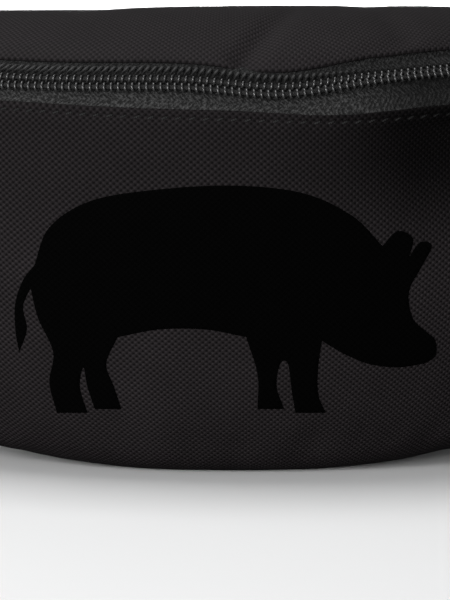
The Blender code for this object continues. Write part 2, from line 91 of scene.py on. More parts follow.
def onPouch(angle, depth, height):  # section places (depth, height) carried round the pouch
    angle, depth, height = np.broadcast_arrays(angle, depth, height)
    room = reach(angle)
    kept = pouch["keptDepth"] * np.minimum(1, room / pouch["fullReach"])
    deeper = (depth - pouch["keptDepth"]) * (room - kept) / (pouch["depth"] - pouch["keptDepth"])
    shallow = depth * kept / pouch["keptDepth"]
    into = np.where(depth <= pouch["keptDepth"], shallow, kept + deeper)
    radius = pouch["frontRadius"] - into
    beyond = pouch["frontRadius"] * (np.abs(np.sin(angle)) - sin(pouch["smileFlat"]))
    lower = np.maximum(0, 1 - height / pouch["zipFoot"])
    rise = np.maximum(0, beyond) ** 2 / (2 * pouch["smileRadius"]) * lower
    upper = np.maximum(0, (height - head[1]) / (crest - head[1]))
    fall = pouch["topFall"] * (angle / pouch["endAngle"]) ** 2 * upper
    place = [radius * np.sin(angle), axisY - radius * np.cos(angle), height + rise - fall]
    return np.stack(place, -1)


def arcPoints(centre, radius, start, stop, count=40):  # an angle of 0 faces the front
    a = np.linspace(start, stop, count)
    return np.stack([centre[0] - radius * np.cos(a), centre[1] + radius * np.sin(a)], 1)


def runOf(points):  # length along a polyline at each of its points
    steps = np.linalg.norm(np.diff(points, axis=0), axis=1)
    return np.concatenate([[0.0], np.cumsum(steps)])


def alongLine(points, run, at):
    return np.stack([np.interp(at, run, points[:, k]) for k in range(points.shape[1])], -1)


def waved(curve, at):  # a resting value with broad waves: middle and half width in degrees, and height
    at = np.degrees(np.asarray(at, float))
    waves = [height * swell(at, middle, width) for middle, width, height in curve["waves"]]
    return curve["rest"] + sum(waves)


def smoothStep(x):
    x = np.clip(x, 0, 1)
    return x * x * (3 - 2 * x)


def swell(x, middle, width):  # a soft hump of height 1
    return np.exp(-(((x - middle) / width) ** 2))


def unit(vectors):
    return vectors / np.maximum(np.linalg.norm(vectors, axis=-1, keepdims=True), 1e-12)


def normalsOf(points, towards):
    across = unit(np.cross(np.gradient(points, axis=0), np.gradient(points, axis=1)))
    middle = across[points.shape[0] // 2, points.shape[1] // 2]
    return across if middle @ np.array(towards) > 0 else -across


# mesh makers
def shadeMesh(mesh, sharp):  # smooth, but for edges sharper than that many degrees
    mesh.shade_smooth()
    mesh.set_sharp_from_angle(angle=radians(sharp))


def newPiece(name, data):
    piece = bpy.data.objects.new(name, data)
    scene.collection.objects.link(piece)
    return piece


def fillMesh(mesh, bm):
    bm.to_mesh(mesh)
    bm.free()
    return mesh


def faceOutwards(mesh, merge=0.0):  # for a closed mesh
    bm = bmesh.new()
    bm.from_mesh(mesh)
    if merge:
        bmesh.ops.remove_doubles(bm, verts=bm.verts, dist=merge)
    bmesh.ops.recalc_face_normals(bm, faces=bm.faces)
    return fillMesh(mesh, bm)


def evaluatedMesh(piece):  # with its modifiers applied
    return bpy.data.meshes.new_from_object(piece.evaluated_get(bpy.context.evaluated_depsgraph_get()))


def meshPiece(name, points, faces, uvs, uvFaces=None, solid=False):
    mesh = bpy.data.meshes.new(name)
    mesh.from_pydata(np.asarray(points).tolist(), [], faces)
    corners = np.concatenate([np.array(face) for face in (uvFaces or faces)])
    layer = mesh.uv_layers.new(name="clothUV")
    layer.data.foreach_set("uv", np.asarray(uvs, np.float32)[corners].ravel())
    if solid:
        faceOutwards(mesh)
    shadeMesh(mesh, 55)
    return newPiece(name, mesh)


def gridQuads(rows, columns, loop=False, first=0):
    index = np.arange(rows * columns).reshape(rows, columns) + first
    if loop:
        index = np.concatenate([index, index[:, :1]], 1)
    quads = [index[:-1, :-1], index[1:, :-1], index[1:, 1:], index[:-1, 1:]]
    return np.stack(quads, -1).reshape(-1, 4).tolist()


def facedQuads(points, towards):  # a grid's faces, turned so that its middle looks towards that way
    rows, columns = points.shape[:2]
    quads = gridQuads(rows, columns)
    a, b = rows // 2, columns // 2
    facing = np.cross(points[a + 1, b] - points[a, b], points[a, b + 1] - points[a, b])
    return [quad[::-1] for quad in quads] if facing @ np.array(towards) < 0 else quads


def thicken(piece, thickness):  # behind its faces
    solid = piece.modifiers.new("Thickness", "SOLIDIFY")
    solid.thickness = thickness
    solid.offset = -1


def shellPiece(name, points, uvs, towards, thickness):
    piece = meshPiece(name, points.reshape(-1, 3), facedQuads(points, towards), uvs.reshape(-1, 2))
    thicken(piece, thickness)
    return piece


def loftPiece(name, lofts):  # closed bodies through rings of points, capped, in one mesh
    points, faces, uvs, uvFaces, total, totalUv = [], [], [], [], 0, 0
    for rings in lofts:
        n, m = rings.shape[:2]
        u = runOf(rings.mean(1))
        v = runOf(np.concatenate([rings[n // 2], rings[n // 2, :1]]))
        points.append(rings.reshape(-1, 3))
        uvs.append(np.stack(np.meshgrid(u, v, indexing="ij"), -1).reshape(-1, 2))
        faces += gridQuads(n, m, True, total)
        uvFaces += gridQuads(n, m + 1, False, totalUv)
        for ring in (0, n - 1):
            faces.append(list(range(total + ring * m, total + ring * m + m)))
            uvFaces.append(list(range(totalUv + ring * (m + 1), totalUv + ring * (m + 1) + m)))
        total += n * m
        totalUv += n * (m + 1)
    return meshPiece(name, np.concatenate(points), faces, np.concatenate(uvs), uvFaces, True)


def tubeRings(path, radius, sides=8, ends=0.6, flat=1.0, hints=None):
    path = np.asarray(path, float)
    tangents = unit(np.gradient(path, axis=0))
    normals = np.zeros_like(path)
    normal = np.array([0.13, 0.21, 0.97])
    for k, tangent in enumerate(tangents):
        normal = np.array(hints[k] if hints is not None else normal, float)
        normal = unit(normal - (normal @ tangent) * tangent)
        normals[k] = normal
    sideways = np.cross(tangents, normals)
    around = np.linspace(0, 2 * pi, sides, endpoint=False)[:, None]
    size = np.full(len(path), radius)
    size[[0, -1]] *= ends
    offsets = normals[:, None] * np.cos(around) * flat + sideways[:, None] * np.sin(around)
    return path[:, None] + offsets * size[:, None, None]


def roundedRing(width, thick, corner, across=12, turn=3):  # a flat band's section, counter-clockwise
    a = np.linspace(0, pi / 2, turn + 1)
    corners = []
    for sideA, sideB, first in ((1, 1, 0), (-1, 1, pi / 2), (-1, -1, pi), (1, -1, 3 * pi / 2)):
        middle = np.array([sideA * (width / 2 - corner), sideB * (thick / 2 - corner)])
        corners.append(middle + corner * np.stack([np.cos(a + first), np.sin(a + first)], 1))
    ring = []
    for k in range(4):
        ring.append(corners[k])
        if k % 2 == 0:
            start, stop = corners[k][-1], corners[(k + 1) % 4][0]
            share = np.linspace(0, 1, across + 1)[1:-1, None]
            ring.append(start + (stop - start) * share)
    return np.concatenate(ring)


def plateMesh(outlines, thickness, edge, steps=2):  # a flat moulded plate with rounded edges
    curve = bpy.data.curves.new("plate", "CURVE")
    curve.dimensions = "2D"
    curve.fill_mode = "BOTH"
    curve.extrude = thickness / 2 - edge
    curve.bevel_depth = edge
    curve.bevel_resolution = steps
    curve.offset = -edge
    for outline in outlines:
        spline = curve.splines.new("POLY")
        spline.points.add(len(outline) - 1)
        for point, place in zip(spline.points, outline):
            point.co = (place[0], place[1], 0, 1)
        spline.use_cyclic_u = True
    holder = newPiece("plate", curve)
    mesh = evaluatedMesh(holder)
    bpy.data.objects.remove(holder)
    return faceOutwards(mesh, 1e-6)


def roundedOutline(points, radius, steps=5):  # a polygon with its corners turned
    points = [np.array(p, float) for p in points]
    turned = []
    for k, corner in enumerate(points):
        before, after = points[k - 1] - corner, points[(k + 1) % len(points)] - corner
        cut = min(radius, 0.45 * np.linalg.norm(before), 0.45 * np.linalg.norm(after))
        first = corner + before / np.linalg.norm(before) * cut
        last = corner + after / np.linalg.norm(after) * cut
        for t in np.linspace(0, 1, steps + 1):
            turned.append((1 - t) ** 2 * first + 2 * t * (1 - t) * corner + t * t * last)
    return turned


def joinMeshes(name, parts):  # (mesh, matrix) pairs made into one piece
    bm = bmesh.new()
    for mesh, matrix in parts:
        placed = mesh.copy()
        placed.transform(matrix)
        bm.from_mesh(placed)
        bpy.data.meshes.remove(placed)
    mesh = fillMesh(bpy.data.meshes.new(name), bm)
    shadeMesh(mesh, 40)
    return newPiece(name, mesh)


def blockMesh(low, high, edge, steps=3):
    bm = bmesh.new()
    bmesh.ops.create_cube(bm, size=1.0)
    bmesh.ops.scale(bm, vec=Vector(high) - Vector(low), verts=bm.verts)
    bmesh.ops.translate(bm, vec=(Vector(high) + Vector(low)) / 2, verts=bm.verts)
    bmesh.ops.bevel(bm, geom=list(bm.edges), offset=edge, segments=steps, profile=0.5, affect="EDGES")
    return fillMesh(bpy.data.meshes.new("block"), bm)


def cutFrom(piece, blocks, place):  # takes rounded blocks, each (low, high, edge), out of the piece
    for low, high, edge in blocks:
        mesh = blockMesh(low, high, edge)
        mesh.transform(place)
        cutter = newPiece("cutter", mesh)
        cut = piece.modifiers.new("Cut", "BOOLEAN")
        cut.operation = "DIFFERENCE"
        cut.object = cutter
        made = evaluatedMesh(piece)
        piece.modifiers.remove(cut)
        piece.data = made
        bpy.data.objects.remove(cutter)
    shadeMesh(piece.data, 40)


# shader helpers
def put(tree, kind, values=(), out=0, **options):
    made = tree.nodes.new("ShaderNode" + kind)
    for key, value in options.items():
        setattr(made, key, value)
    for k, value in enumerate(values):
        if isinstance(value, bpy.types.NodeSocket):
            tree.links.new(value, made.inputs[k])
        elif value is not None:
            made.inputs[k].default_value = value
    return made.outputs[out]


def calc(tree, operation, *values):
    return put(tree, "Math", values, operation=operation)


def ramp(tree, value, *ends):  # eased between two values
    return put(tree, "MapRange", (value, *ends), interpolation_type="SMOOTHSTEP")


def axesOf(tree, vector):
    split = tree.nodes.new("ShaderNodeSeparateXYZ")
    tree.links.new(vector, split.inputs[0])
    return split.outputs


def mixed(tree, share, first, second):
    return put(tree, "Mix", (share, None, None, None, None, None, first, second), 2, data_type="RGBA")


def grey(value):
    return (value, value, value, 1)


def effectGroup(name, inputs, outputs):
    group = bpy.data.node_groups.new(name, "ShaderNodeTree")
    for label, value in inputs.items():
        kind = "NodeSocketVector" if value is None else "NodeSocketFloat"
        socket = group.interface.new_socket(label, in_out="INPUT", socket_type=kind)
        if value is not None:
            socket.default_value = value
    for label in outputs:
        group.interface.new_socket(label, in_out="OUTPUT", socket_type="NodeSocketFloat")
    return group, group.nodes.new("NodeGroupInput").outputs, group.nodes.new("NodeGroupOutput")


def weaveGroup():  # plain weave: each float a soft bead, warp and weft over by turns
    inputs = {
        "Vector": None, "Warp Pitch": 0.9 * mm, "Weft Pitch": 0.8 * mm, "Wander": 0.2 * mm, "Uneven": 0.3,
    }
    group, given, result = effectGroup("plainWeave", inputs, ["Height", "Shade", "Beads"])
    drift = put(group, "TexNoise", (given["Vector"], None, 170.0, 2.0), 1)
    drift = put(group, "VectorMath", (drift, (0.5, 0.5, 0.5)), operation="SUBTRACT")
    drift = put(group, "VectorMath", (drift, None, None, given["Wander"]), operation="SCALE")
    moved = put(group, "VectorMath", (given["Vector"], drift), operation="ADD")
    axes = axesOf(group, moved)
    u = calc(group, "DIVIDE", axes[0], given["Warp Pitch"])
    v = calc(group, "DIVIDE", axes[1], given["Weft Pitch"])
    waveU = calc(group, "SINE", calc(group, "MULTIPLY", u, pi))
    waveV = calc(group, "SINE", calc(group, "MULTIPLY", v, pi))
    product = calc(group, "MULTIPLY", waveU, waveV)
    over = calc(group, "POWER", calc(group, "MAXIMUM", product, 0.0), 0.8)
    under = calc(group, "MAXIMUM", calc(group, "MULTIPLY", product, -1.0), 0.0)
    under = calc(group, "POWER", under, 0.8)
    cell = put(group, "CombineXYZ", (calc(group, "FLOOR", u), calc(group, "FLOOR", v), 0.0))
    random = put(group, "TexWhiteNoise", (cell,), noise_dimensions="3D")
    spread = calc(group, "MULTIPLY", calc(group, "SUBTRACT", random, 0.5), given["Uneven"])
    beads = calc(group, "MULTIPLY", over, calc(group, "ADD", spread, 1.0))
    height = calc(group, "ADD", beads, calc(group, "MULTIPLY", under, 0.55))
    group.links.new(height, result.inputs["Height"])
    # Shade is partly painted light: a painted highlight on the warp beads and painted shade on the weft
    # floats, over the woven pattern
    contrast = calc(group, "SUBTRACT", beads, under)
    group.links.new(calc(group, "MULTIPLY_ADD", contrast, 0.5, 0.5), result.inputs["Shade"])
    group.links.new(over, result.inputs["Beads"])
    return group


def herringboneGroup():  # slanted ribs that change sides from column to column, with a fuzz of fibres
    inputs = {"Vector": None, "Rib Pitch": 1.2 * mm, "Column": 2.2 * mm, "Fuzz": 0.6}
    group, given, result = effectGroup("herringbone", inputs, ["Height", "Shade"])
    axes = axesOf(group, given["Vector"])
    v = calc(group, "DIVIDE", axes[1], given["Column"])
    column = calc(group, "FLOOR", v)
    side = calc(group, "MULTIPLY_ADD", calc(group, "FLOORED_MODULO", column, 2.0), -2.0, 1.0)
    slant = calc(group, "MULTIPLY", calc(group, "SUBTRACT", v, column), given["Column"])
    slant = calc(group, "MULTIPLY", slant, side)
    phase = calc(group, "DIVIDE", calc(group, "ADD", axes[0], slant), given["Rib Pitch"])
    wave = calc(group, "SINE", calc(group, "MULTIPLY", phase, 2 * pi))
    rib = calc(group, "MULTIPLY_ADD", wave, 0.5, 0.5)
    fuzz = put(group, "TexNoise", (given["Vector"], None, 1100.0, 3.0, 0.65))
    fuzz = calc(group, "MULTIPLY", calc(group, "SUBTRACT", fuzz, 0.5), given["Fuzz"])
    both = calc(group, "ADD", calc(group, "MULTIPLY", rib, 0.45), calc(group, "MULTIPLY", fuzz, 3.0))
    group.links.new(both, result.inputs["Height"])
    group.links.new(calc(group, "ADD", both, 0.1), result.inputs["Shade"])
    return group


def plyGroup():  # the twist of a plied sewing thread
    group, given, result = effectGroup("pliedThread", {"Vector": None, "Twist": 0.8 * mm}, ["Height"])
    axes = axesOf(group, given["Vector"])
    run = calc(group, "ADD", axes[0], axes[1])
    wave = calc(group, "SINE", calc(group, "MULTIPLY", calc(group, "DIVIDE", run, given["Twist"]), pi))
    group.links.new(calc(group, "ABSOLUTE", wave), result.inputs["Height"])
    return group


def mottleGroup():  # broad, faint unevenness of dye and handling, with a little lint
    inputs = {"Vector": None, "Size": 0.02, "Amount": 0.2, "Lint": 0.1}
    group, given, result = effectGroup("mottle", inputs, ["Tone", "Lint"])
    scale = calc(group, "DIVIDE", 1.0, given["Size"])
    broad = put(group, "TexNoise", (given["Vector"], None, scale, 3.0, 0.55))
    tone = calc(group, "MULTIPLY_ADD", calc(group, "SUBTRACT", broad, 0.5), given["Amount"], 1.0)
    group.links.new(tone, result.inputs["Tone"])
    specks = put(group, "TexNoise", (given["Vector"], None, 1400.0, 1.0))
    specks = put(group, "MapRange", (specks, 0.70, 0.80, 0.0, 1.0))
    group.links.new(calc(group, "MULTIPLY", specks, given["Lint"]), result.inputs["Lint"])
    return group


groups = {
    "weave": weaveGroup(), "herringbone": herringboneGroup(), "ply": plyGroup(), "mottle": mottleGroup(),
}


def placeGroup(tree, group, **values):
    made = tree.nodes.new("ShaderNodeGroup")
    made.node_tree = groups[group]
    for label, value in values.items():
        socket = made.inputs[label.replace("_", " ")]
        if isinstance(value, bpy.types.NodeSocket):
            tree.links.new(value, socket)
        else:
            socket.default_value = value
    return made.outputs


def startMaterial(name, roughness, specular, metallic=0.0, sheen=0.0):
    material = bpy.data.materials.new(name)
    material.use_nodes = True
    tree = material.node_tree
    shader = tree.nodes["Principled BSDF"]
    shader.inputs["Roughness"].default_value = roughness
    shader.inputs["Specular IOR Level"].default_value = specular
    shader.inputs["Metallic"].default_value = metallic
    shader.inputs["Sheen Weight"].default_value = sheen
    shader.inputs["Sheen Roughness"].default_value = 0.6
    return material, tree, shader


def clothVector(tree):
    return put(tree, "UVMap", uv_map="clothUV")


def bodyVector(tree):
    return put(tree, "TexCoord", out=3)


def mottled(tree, size, amount, lint):
    return placeGroup(tree, "mottle", Vector=bodyVector(tree), Size=size, Amount=amount, Lint=lint)


def finishMaterial(tree, shader, colour, height, distance, tone=None):
    if tone is not None:
        colour = put(tree, "VectorMath", (colour, None, None, tone), operation="SCALE")
    tree.links.new(colour, shader.inputs["Base Color"])
    bumped = put(tree, "Bump", (1.0, distance, None, height))
    tree.links.new(bumped, shader.inputs["Normal"])


def inShadow(tree, tone, shadows, vector=None):  # darker cloth painted where a fold or brim is deep
    for shadow in shadows:
        surface = vector or clothVector(tree)
        moved = put(tree, "VectorMath", (surface, shadow["at"]), operation="SUBTRACT")
        stretched = put(tree, "VectorMath", (moved, shadow["size"]), operation="DIVIDE")
        far = put(tree, "VectorMath", (stretched,), 1, operation="LENGTH")
        tone = calc(tree, "MULTIPLY", tone, ramp(tree, far, 0.25, 1.0, 1 - shadow["depth"], 1.0))
    return tone


def wovenMaterial(name, look, shadows=()):
    material, tree, shader = startMaterial(name, look["roughness"], look["specular"], sheen=look["sheen"])
    weave = placeGroup(
        tree, "weave", Vector=clothVector(tree), Warp_Pitch=look["warp"], Weft_Pitch=look["weft"],
        Wander=look["wander"], Uneven=look["uneven"],
    )
    broad = mottled(tree, look["mottle"], look["amount"], look["lint"])
    colour = mixed(tree, weave["Shade"], look["dark"], look["light"])
    colour = mixed(tree, broad["Lint"], colour, look["lintColour"])
    tone = inShadow(tree, broad["Tone"], shadows)
    finishMaterial(tree, shader, colour, weave["Height"], look["relief"], tone)
    return material


# dark and light: the black cloth's colour, with painted shade and a painted highlight across the weave
canvasLook = {
    "roughness": 0.78, "specular": 0.10, "sheen": 0.0, "warp": 0.92 * mm, "weft": 0.80 * mm,
    "wander": 0.35 * mm, "uneven": 0.7, "mottle": 0.018, "amount": 0.5, "lint": 0.10,
    "dark": (0.0028, 0.0023, 0.0025, 1), "light": (0.0165, 0.0143, 0.0152, 1),
    "lintColour": grey(0.035), "relief": 0.13 * mm,
}
# painted reflection: the front's canvas is the same cloth with less specular and a paler colour in its place
frontLook = canvasLook | {"specular": 0.03, "light": (0.0212, 0.0186, 0.0197, 1)}
webbingLook = canvasLook | {
    "warp": 1.25 * mm, "weft": 0.75 * mm, "wander": 0.15 * mm, "roughness": 0.6,
    "dark": grey(0.003), "light": grey(0.026), "relief": 0.30 * mm,
}
liningLook = canvasLook | {
    "warp": 0.45 * mm, "weft": 0.45 * mm, "dark": grey(0.008), "light": grey(0.018), "relief": 0.05 * mm,
}

# shade painted into the cloth, tape and thread around the zip: it stays put when the light moves
foldShadow = {"at": (0.066, -0.004, 0), "size": (0.058, 0.042, 1), "depth": 0.75}
brimShadow = {"at": (-0.01, 0, 0), "size": (0.17, 0.050, 1), "depth": 0.28}
threadShadow = {"at": (0.090, -0.02, 0.09), "size": (0.070, 0.2, 0.2), "depth": 0.9}
tapeShadow = {"at": (0.060, 0.003, 0), "size": (0.034, 0.030, 1), "depth": 0.72}


def airMeshMaterial():
    material, tree, shader = startMaterial("airMesh", 0.85, 0.2)
    holes = placeGroup(
        tree, "weave", Vector=clothVector(tree), Warp_Pitch=1.6 * mm, Weft_Pitch=2.1 * mm,
        Wander=0.15 * mm, Uneven=0.2,
    )
    hole = ramp(tree, holes["Beads"], 0.25, 0.65, 0.0, 1.0)
    fibres = put(tree, "TexNoise", (clothVector(tree), None, 2500.0, 2.0))
    height = calc(tree, "SUBTRACT", calc(tree, "MULTIPLY", fibres, 0.2), hole)
    # painted shade: the mesh's holes near black
    colour = mixed(tree, hole, grey(0.021), grey(0.002))
    finishMaterial(tree, shader, colour, height, 0.8 * mm, mottled(tree, 0.03, 0.3, 0.1)["Tone"])
    return material


def tapeMaterial(name, lightness=1.0, rib=1.15 * mm, column=2.1 * mm, shadows=()):
    material, tree, shader = startMaterial(name, 0.85, 0.12, sheen=0.01)
    twill = placeGroup(tree, "herringbone", Vector=clothVector(tree), Rib_Pitch=rib, Column=column, Fuzz=1.5)
    broad = mottled(tree, 0.01, 0.5, 0.2)
    colour = mixed(tree, twill["Shade"], grey(0.010 * lightness), grey(0.056 * lightness))
    colour = mixed(tree, broad["Lint"], colour, grey(0.09 * lightness))
    tone = inShadow(tree, broad["Tone"], shadows)
    finishMaterial(tree, shader, colour, twill["Height"], 0.25 * mm, tone)
    return material


def threadMaterial(name, dark, light, specular=0.2, shadows=(), shadeAlong=None):
    material, tree, shader = startMaterial(name, 0.6, specular)
    vector = clothVector(tree)
    ply = placeGroup(tree, "ply", Vector=vector, Twist=0.55 * mm)
    tone = inShadow(tree, mottled(tree, 0.003, 0.7, 0.0)["Tone"], shadows, bodyVector(tree))
    if shadeAlong:  # painted shade: the thread darker near its start, up to its full tone from one distance along it to another
        tone = calc(tree, "MULTIPLY", tone, ramp(tree, axesOf(tree, vector)[0], *shadeAlong))
    colour = mixed(tree, ply["Height"], grey(dark), grey(light))
    finishMaterial(tree, shader, colour, ply["Height"], 0.08 * mm, tone)
    return material


def coilMaterial():
    material, tree, shader = startMaterial("coilNylon", 0.24, 0.6)
    broad = mottled(tree, 0.004, 0.6, 0.05)
    colour = mixed(tree, broad["Lint"], grey(0.022), grey(0.06))
    finishMaterial(tree, shader, colour, broad["Tone"], 0.05 * mm, broad["Tone"])
    return material


def mouldedMaterial(name, base, roughness, grain, metallic=0.0):
    material, tree, shader = startMaterial(name, roughness, 0.45, metallic)
    broad = mottled(tree, 0.012, 0.25, 0.06)
    colour = mixed(tree, broad["Lint"], grey(base), grey(base * 3))
    fine = put(tree, "TexNoise", (bodyVector(tree), None, 3000.0, 2.0))
    rough = put(tree, "MapRange", (fine, 0.3, 0.7, roughness * 0.85, roughness * 1.2))
    tree.links.new(rough, shader.inputs["Roughness"])
    finishMaterial(tree, shader, colour, fine, grain, broad["Tone"])
    return material


def printMaterial():
    material, tree, shader = startMaterial("printInk", 0.95, 0.02)
    look = canvasLook
    weave = placeGroup(
        tree, "weave", Vector=clothVector(tree), Warp_Pitch=look["warp"], Weft_Pitch=look["weft"],
        Wander=look["wander"], Uneven=0.3,
    )
    colour = mixed(tree, weave["Shade"], grey(0.0002), grey(0.0006))
    finishMaterial(tree, shader, colour, weave["Height"], 0.03 * mm)
    return material


finishes = {
    "canvas": wovenMaterial("canvas", canvasLook),
    "frontCanvas": wovenMaterial("frontCanvas", frontLook, [foldShadow, brimShadow]),
    "webbing": wovenMaterial("webbing", webbingLook),
    "lining": wovenMaterial("lining", liningLook),
    "airMesh": airMeshMaterial(),
    "tape": tapeMaterial("zipTape", 0.86, shadows=[tapeShadow]),
    # painted shade: the upper tape is the same tape as the lower, made darker for the shade between the
    # sewing threads
    "upperTapeShaded": tapeMaterial("upperTapeShaded", 0.50),
    "binding": tapeMaterial("bindingTape", 0.7, 0.9 * mm, 1.6 * mm),
    "thread": threadMaterial("seamThread", 0.003, 0.011),
    "frontThread": threadMaterial("frontThread", 0.004, 0.022, 0.04, [threadShadow]),
    # painted shade on the zip's sewing threads: darker near the coil
    "zipThread": threadMaterial("zipThread", 0.010, 0.066, 0.1, (), (0.6 * mm, 3.6 * mm, 0.12, 1.0)),
    "cord": threadMaterial("coilCord", 0.002, 0.006),
    "coil": coilMaterial(),
    "slider": mouldedMaterial("paintedSlider", 0.028, 0.34, 0.004 * mm, 1.0),
    "pull": mouldedMaterial("pullTab", 0.018, 0.5, 0.02 * mm),
    "buckle": mouldedMaterial("buckleNylon", 0.014, 0.42, 0.02 * mm),
    "ink": printMaterial(),
    "elastic": tapeMaterial("elasticLoop", 0.6, 1.3 * mm, 1.0 * mm),
}
print("finishes made:", len(finishes))


def dress(piece, finish, body="bag", stands=()):
    piece.data.materials.clear()
    piece.data.materials.append(finishes[finish])
    if body:
        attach(piece, body)
    if stands:
        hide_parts(*stands)
    return piece


# a row of stitches that dive at both ends, each leaning to the side by that much
def stitchRow(name, places, outs, pitch, length, thick, lean=0, body="bag", finish="thread"):
    run = runOf(places)
    shares = np.array([0, 0.1, 0.28, 0.5, 0.72, 0.9, 1])
    lift = thick * np.array([-1.1, 0.0, 0.75, 0.95, 0.75, 0.0, -1.1])
    lofts = []
    for start in np.arange(pitch / 2, run[-1] - length, pitch):
        at = start + length * shares
        path, out = alongLine(places, run, at), alongLine(outs, run, at)
        side = unit(np.cross(out, np.gradient(path, axis=0)))
        path = path + out * lift[:, None] + side * (lean * np.linspace(-1, 1, len(at)))[:, None]
        lofts.append(tubeRings(path, thick, 6, 0.7, 0.8, out))
    return dress(loftPiece(name, lofts), finish, body)


# cloth pushed out by what fills the bag, with its sewn edges held
def splineWeights(count, places):
    weights = np.zeros((len(places), count))
    for row, at in enumerate(places):
        base = min(int(at), count - 2)
        f = at - base
        shares = ((1 - f) ** 3, 3 * f**3 - 6 * f**2 + 4, -3 * f**3 + 3 * f**2 + 3 * f + 1, f**3)
        for k, share in enumerate(shares):
            weights[row, min(max(base + k - 1, 0), count - 1)] += share / 6
    return weights


def sewnGrid(place, low, high, drape):  # the same cloth as a coarse grid, and which of its points are sewn
    angle = np.linspace(-drape["angle"], drape["angle"], drape["columns"])[:, None]
    low = low(angle)
    points = place(angle, low + np.linspace(0, 1, drape["rows"])[None] * (high - low))
    held = np.zeros(points.shape[:2], bool)
    held[[0, 1, -2, -1]] = True
    held[:, drape["sewnRows"]] = True
    return points, held


def filledOut(points, held, drape):  # how far each point of the held cloth moves
    flat = points.reshape(-1, 3)
    cloth = meshPiece("drapedCloth", flat, facedQuads(points, drape["towards"]), flat[:, :2])
    sewn = cloth.vertex_groups.new(name="sewn")
    sewn.add(np.flatnonzero(held.ravel()).tolist(), 1.0, "ADD")
    modifier = cloth.modifiers.new("Cloth", "CLOTH")
    settings = modifier.settings
    settings.quality = 6
    settings.mass = drape["mass"]
    settings.vertex_group_mass = "sewn"
    settings.tension_stiffness = settings.compression_stiffness = drape["stiffness"]
    settings.shear_stiffness = drape["stiffness"] / 3
    settings.bending_stiffness = drape["bending"]
    settings.use_pressure = True
    settings.uniform_pressure_force = drape["pressure"]
    settings.shrink_min = -drape["slack"]
    settings.effector_weights.gravity = 0
    modifier.collision_settings.use_collision = False
    modifier.point_cache.frame_end = drape["frames"]
    for step in range(1, drape["frames"] + 1):
        scene.frame_set(step)
    shaped = cloth.evaluated_get(bpy.context.evaluated_depsgraph_get()).data
    moved = np.zeros(len(shaped.vertices) * 3, np.float32)
    shaped.vertices.foreach_get("co", moved)
    moved = moved.reshape(points.shape).astype(float) - points
    bpy.data.objects.remove(cloth)
    scene.frame_set(1)
    far = np.linalg.norm(moved, axis=-1, keepdims=True)
    print("  cloth would move up to", round(float(far.max()) / mm, 2), "mm, kept to", drape["cap"] / mm)
    return moved / np.maximum(far, 1e-9) * drape["cap"] * np.tanh(far / drape["cap"])


def refined(moves, alongShares, acrossShares):  # a coarse grid of moves read smoothly at finer places
    along, across = moves.shape[:2]
    rows = splineWeights(along, alongShares * (along - 1))
    columns = splineWeights(across, acrossShares * (across - 1))
    return np.einsum("ab,bcd,ec->aed", rows, moves, columns)


# front panel
frontCloth = {
    "columns": 330, "rows": 116, "thickness": 1.2 * mm, "lip": 0.75 * mm, "lipRound": 0.8 * mm,
    "lipFade": (2.6 * mm, 9 * mm), "stitchDrop": 2.7 * mm, "groove": 0.35 * mm,
    "edge": {"rest": 0, "waves": [(-26, 16, 1.75), (9, 7, -1.0), (24, 8, 1.25)]},
    "hollow": 6.5 * mm, "hollowAt": (radians(20), 17 * mm), "hollowSize": (radians(8), 17 * mm),
}
frontDrape = {
    "towards": (0, -1, 0), "mass": 0.25, "stiffness": 12, "bending": 1.5, "pressure": 4.0,
    "slack": 0.012, "frames": 22, "cap": 0.7 * mm,
    "angle": pouch["endAngle"], "columns": 86, "rows": 42, "sewnRows": [0, -2, -1],
}
heel = (pouch["depth"] - pouch["backRound"], pouch["backRound"])
frontLine = np.concatenate([
    (foot + 4 * mm * bandUp)[None],
    arcPoints(bulge, bulge[0], footAngle, -cornerAngle, 120),
    arcPoints((cornerDepth, pouch["baseRound"]), pouch["baseRound"], -cornerAngle, -pi / 2, 30)[1:],
    arcPoints(heel, pouch["backRound"], -pi / 2, -pi, 20),
])
frontRun = runOf(frontLine) - 4 * mm


def frontPlace(angle, s):
    return onPouch(angle, np.interp(s, frontRun, frontLine[:, 0]), np.interp(s, frontRun, frontLine[:, 1]))


def frontEdge(angle):  # how far down the panel its hem lies
    return -waved(frontCloth["edge"], angle) * mm


def lipHeight(s, cloth):  # the folded hem: rounded at its edge, thick to the stitching, then fading
    turned = np.clip(s / cloth["lipRound"], 0, 1)
    start, stop = cloth["lipFade"]
    lasting = 1 - 0.75 * smoothStep((s - start) / (stop - start))
    return cloth["lip"] * (np.sin(turned * pi / 2) * lasting - 0.9 * (1 - turned))


